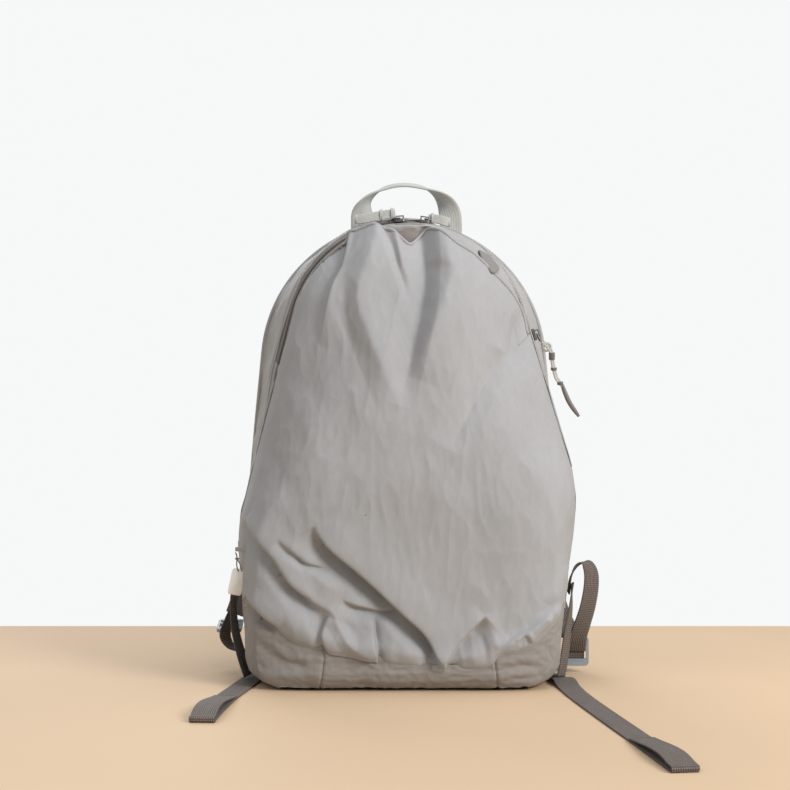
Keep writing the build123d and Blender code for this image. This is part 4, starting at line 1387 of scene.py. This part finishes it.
def make_strap(side):
    """A padded strap with bound edges, a webbing ladder on its face and webbing at its lower end."""
    body = f"strap_{side}"
    path, across = strap_line(side, STRAP_PATH, 150)
    share = np.linspace(0, 1, len(path))
    taper = np.interp(share, [0, 0.03, 0.12, 0.75, 0.95, 1], [0.74, 0.86, 0.98, 1.0, 0.78, 0.5])
    squeeze = np.clip(np.minimum(share, 1 - share) / 0.03, 0.35, 1)
    angles = circle(48)
    section = np.stack([squared(np.cos(angles), 0.55) * STRAP_WIDTH / 2,
                        squared(np.sin(angles), 0.62) * STRAP_THICK / 2], axis=1)
    sections = section[None] * np.stack([taper, squeeze], axis=1)[:, None]
    from_middle, face_side = np.abs(section[:, 0]), np.sign(section[:, 1])
    channel = 1.1 * np.exp(-((from_middle - 17) / 1.5) ** 2) * face_side
    rib = 0.35 * np.cos(share * STRAP_PATH[-1][1] / 15 * pi) ** 16
    sections[:, :, 1] -= channel + rib[:, None] * face_side * (from_middle < 20)
    pad = swept(f"strap_pad_{side}", path, across, sections, MESH)
    place(pad, body, "spacer_mesh", f"strap_cover_{side}", f"strap_foam_{side}")
    for i, way in enumerate((-1, 1)):
        edge = path + across * (way * (STRAP_WIDTH / 2 - 0.6) * taper)[:, None]
        binding = swept(f"strap_binding_{side}_{i}", edge[2:-2], across, round_section(2.0, 10), GUSSET)
        place(binding, body, "gusset_nylon")
    ends, across = strap_line(side, STRAP_ENDS[side], 80)
    web = swept(f"strap_webbing_{side}", ends, across, ribbon_section(WEB, WEB_THICK), DARK_WEB)
    place(web, body, "dark_webbing", f"strap_web_{side}")
    face, across = strap_line(side, [(y + STRAP_THICK / 2 + 0.7, s) for y, s in STRAP_PATH], 130)
    strip = swept(f"strap_ladder_{side}", face[4:-10], across, ribbon_section(15, 1.2), DARK_WEB)
    place(strip, body, "dark_webbing")
    for i, at in enumerate((18, 44, 70, 96)):
        bar = [face[at] + across * k + np.array([0, 0.9, 0]) for k in (-6, 0, 6)]
        stitch_row(f"strap_bartack_{side}_{i}", bar, (0, 1, 0), THREAD, body, 1.6)


def make_yoke():
    """The sewn patch that holds both straps to the top of the back panel."""
    low, high = corners_of("strap_yoke")
    columns, rows = 60, 14
    x = np.linspace(low[0], high[0], columns)
    z = np.linspace(low[2], high[2], rows)
    grid_x, grid_z = np.meshgrid(x, z)
    from_side = np.minimum(grid_x - low[0], high[0] - grid_x)
    from_end = np.minimum(grid_z - low[2], high[2] - grid_z)
    y = BACK_Y - 0.5 + 3.0 * np.clip(np.minimum(from_side, from_end) / 3.0, 0, 1) ** 0.5
    grid_z = grid_z + 4 * np.cos(grid_x / 40) - 2
    points = np.stack([grid_x, y, grid_z], axis=-1)
    patch = mesh_object("yoke_patch", points, grid_faces(rows, columns, flip=True), GUSSET)
    thicken(patch, 1.0)
    place(patch, "pack", "gusset_nylon", "strap_yoke")
    for i, level in enumerate((low[2] + 3.5, high[2] - 3.5)):
        line = [(px, BACK_Y + 2.7, level + 4 * cos(px / 40) - 2) for px in x[2:-2]]
        stitch_row(f"yoke_stitches_{i}", line, (0, 1, 0), THREAD, "pack")


LINING_GRID = 121
NOTCH_HALF_ANGLE = 0.075


def in_notch(angle):
    """1 in the middle of the hem's notch, 0 away from it."""
    return np.exp(-(((angle - pi / 2) / NOTCH_HALF_ANGLE) ** 4))


def lining_reach(angle):
    """Distance from the front's centre to the lining's edge: past the hem only in its notch."""
    wanted = panel_reach(angle) - 10 + 31 * in_notch(angle)
    return np.minimum(wanted, reach(POCKET_EDGE_Y, angle) + 3)


def make_lining():
    """The front pocket's lining: it stays behind the folds and shows in the hem's notch."""
    x, z, share, angle, far = disc_grid(LINING_GRID, lining_reach)
    from_edge = (1 - share) * far
    plain = 16 + 8 * np.clip(from_edge / 40, 0, 1)
    shown = np.interp(from_edge, [0, 12, 21, 50], [4, 9, 15, 24])
    y = front_depth(x, z) + plain + (shown - plain) * in_notch(angle)
    points = np.stack([x, y, z], axis=-1)
    lining = mesh_object("pocket_lining", points, disc_faces(LINING_GRID), LINING)
    thicken(lining, 0.6)
    place(lining, "pack", "lining", "pocket_liner")


def make_base_board():
    """The padded board inside the base."""
    low, high = corners_of("base_pad")
    centre, half = (low + high) / 2, (high - low) / 2
    angles = circle(96)
    points = []
    for level, size in ((0, 0.97), (0.2, 1.0), (0.8, 1.0), (1.0, 0.97)):
        x = centre[0] + squared(np.cos(angles), 0.3) * half[0] * size
        y = centre[1] + squared(np.sin(angles), 0.3) * half[1] * size
        z = np.full(len(angles), low[2] + (high[2] - low[2]) * level)
        points.append(np.stack([x, y, z], axis=1))
    board = mesh_object("base_board", points, tube_faces(len(points), len(angles)), LINING)
    place(board, "pack", "foam", "base_pad")


def finish_nodes():
    """Procedural finishes for the CAD nodes that keep their own shape."""
    for side in ("left", "right", "side"):
        painted(f"zip_slider_{side}", METAL)
        painted(f"zip_ring_{side}", METAL)
    for side in WAY:
        painted(f"ladder_lock_{side}", LOCK)
    painted("main_zip_stops", BASE_SHADED_NYLON)


# ---- camera, floor and light ---------------------------------------------------------------
CAMERA_AT = (-8.6, -1592.0, 286.0)
CAMERA_LENS = 71.2
FLOOR_BACK_Y = 342.0
FLOOR_REACH = 2500.0
# name: where it stands and what it faces in metres, its width, power and colour
LIGHTS = {
    "key": ((1.7, -1.5, 1.3), (0, 0, 0.2), 1.1, 46, (1.0, 0.985, 0.965)),
    "top": ((0.4, -0.3, 2.2), (0, 0, 0.2), 1.8, 16, (1, 1, 1)),
    "fill": ((-1.8, -1.2, 1.9), (0, 0, 0.3), 1.4, 6, (1, 1, 1)),
    "rear": ((-0.8, 1.9, 1.4), (0, 0, 0.2), 1.6, 22, (1, 1, 1)),
}


def make_floor():
    """The pale table top, which ends behind the pack."""
    material = Shader("floor_pale", (0.66, 0.49, 0.33), 0.7, specular=0.2)
    material.tint(material.noise((3, 3, 3), 2.0), 0.98, 1.02)
    corners = [(-FLOOR_REACH, -FLOOR_REACH, 0), (FLOOR_REACH, -FLOOR_REACH, 0),
               (FLOOR_REACH, FLOOR_BACK_Y, 0), (-FLOOR_REACH, FLOOR_BACK_Y, 0)]
    floor = mesh_object("floor", corners, [(0, 1, 2, 3)], material.finish(), smooth=False)


def area_light(name, at, target, size, power, colour):
    data = bpy.data.lights.new(name, "AREA")
    data.shape = "DISK"
    data.size = size
    data.energy = power
    data.color = colour
    lamp = bpy.data.objects.new(name, data)
    lamp.location = Vector(at)
    lamp.rotation_euler = (Vector(target) - Vector(at)).to_track_quat("-Z", "Y").to_euler()
    bpy.context.scene.collection.objects.link(lamp)


def make_world():
    """A pale backdrop for the camera and a dimmer, cooler light for the scene."""
    world = bpy.data.worlds.new("studio")
    bpy.context.scene.world = world
    world.use_nodes = True
    tree = world.node_tree
    shown = tree.nodes["Background"]
    shown.inputs["Color"].default_value = (0.93, 0.935, 0.94, 1)
    light = tree.nodes.new("ShaderNodeBackground")
    light.inputs["Color"].default_value = (0.95, 0.98, 1.0, 1)
    light.inputs["Strength"].default_value = 0.42
    rays = tree.nodes.new("ShaderNodeLightPath")
    mix = tree.nodes.new("ShaderNodeMixShader")
    tree.links.new(rays.outputs["Is Camera Ray"], mix.inputs["Fac"])
    tree.links.new(light.outputs["Background"], mix.inputs[1])
    tree.links.new(shown.outputs["Background"], mix.inputs[2])
    tree.links.new(mix.outputs["Shader"], tree.nodes["World Output"].inputs["Surface"])


def make_camera():
    data = bpy.data.cameras.new("camera")
    data.lens = CAMERA_LENS
    data.sensor_width = 36.0
    data.clip_start = 0.01
    camera = bpy.data.objects.new("camera", data)
    camera.location = Vector(CAMERA_AT) * MM
    camera.rotation_euler = (radians(90), 0, 0)
    bpy.context.scene.collection.objects.link(camera)
    bpy.context.scene.camera = camera


def make_studio():
    make_floor()
    make_world()
    make_camera()
    bpy.context.scene.view_settings.view_transform = "Standard"
    for name, values in LIGHTS.items():
        area_light(name, *values)


make_studio()
make_hem(make_front())
make_rear_gusset()
make_front_gusset()
make_gusset_closings()
make_piping()
make_back_panel()
make_base()
make_main_zip()
make_handle()
make_side_zip()
make_side_pull()
make_garage()
make_lock_wrap()
make_tag()
make_tag_loop()
make_yoke()
make_lining()
make_base_board()
for side in WAY:
    make_top_pull(side)
    make_side_webbing(side)
    make_anchor_tab(side)
    make_strap(side)
finish_nodes()
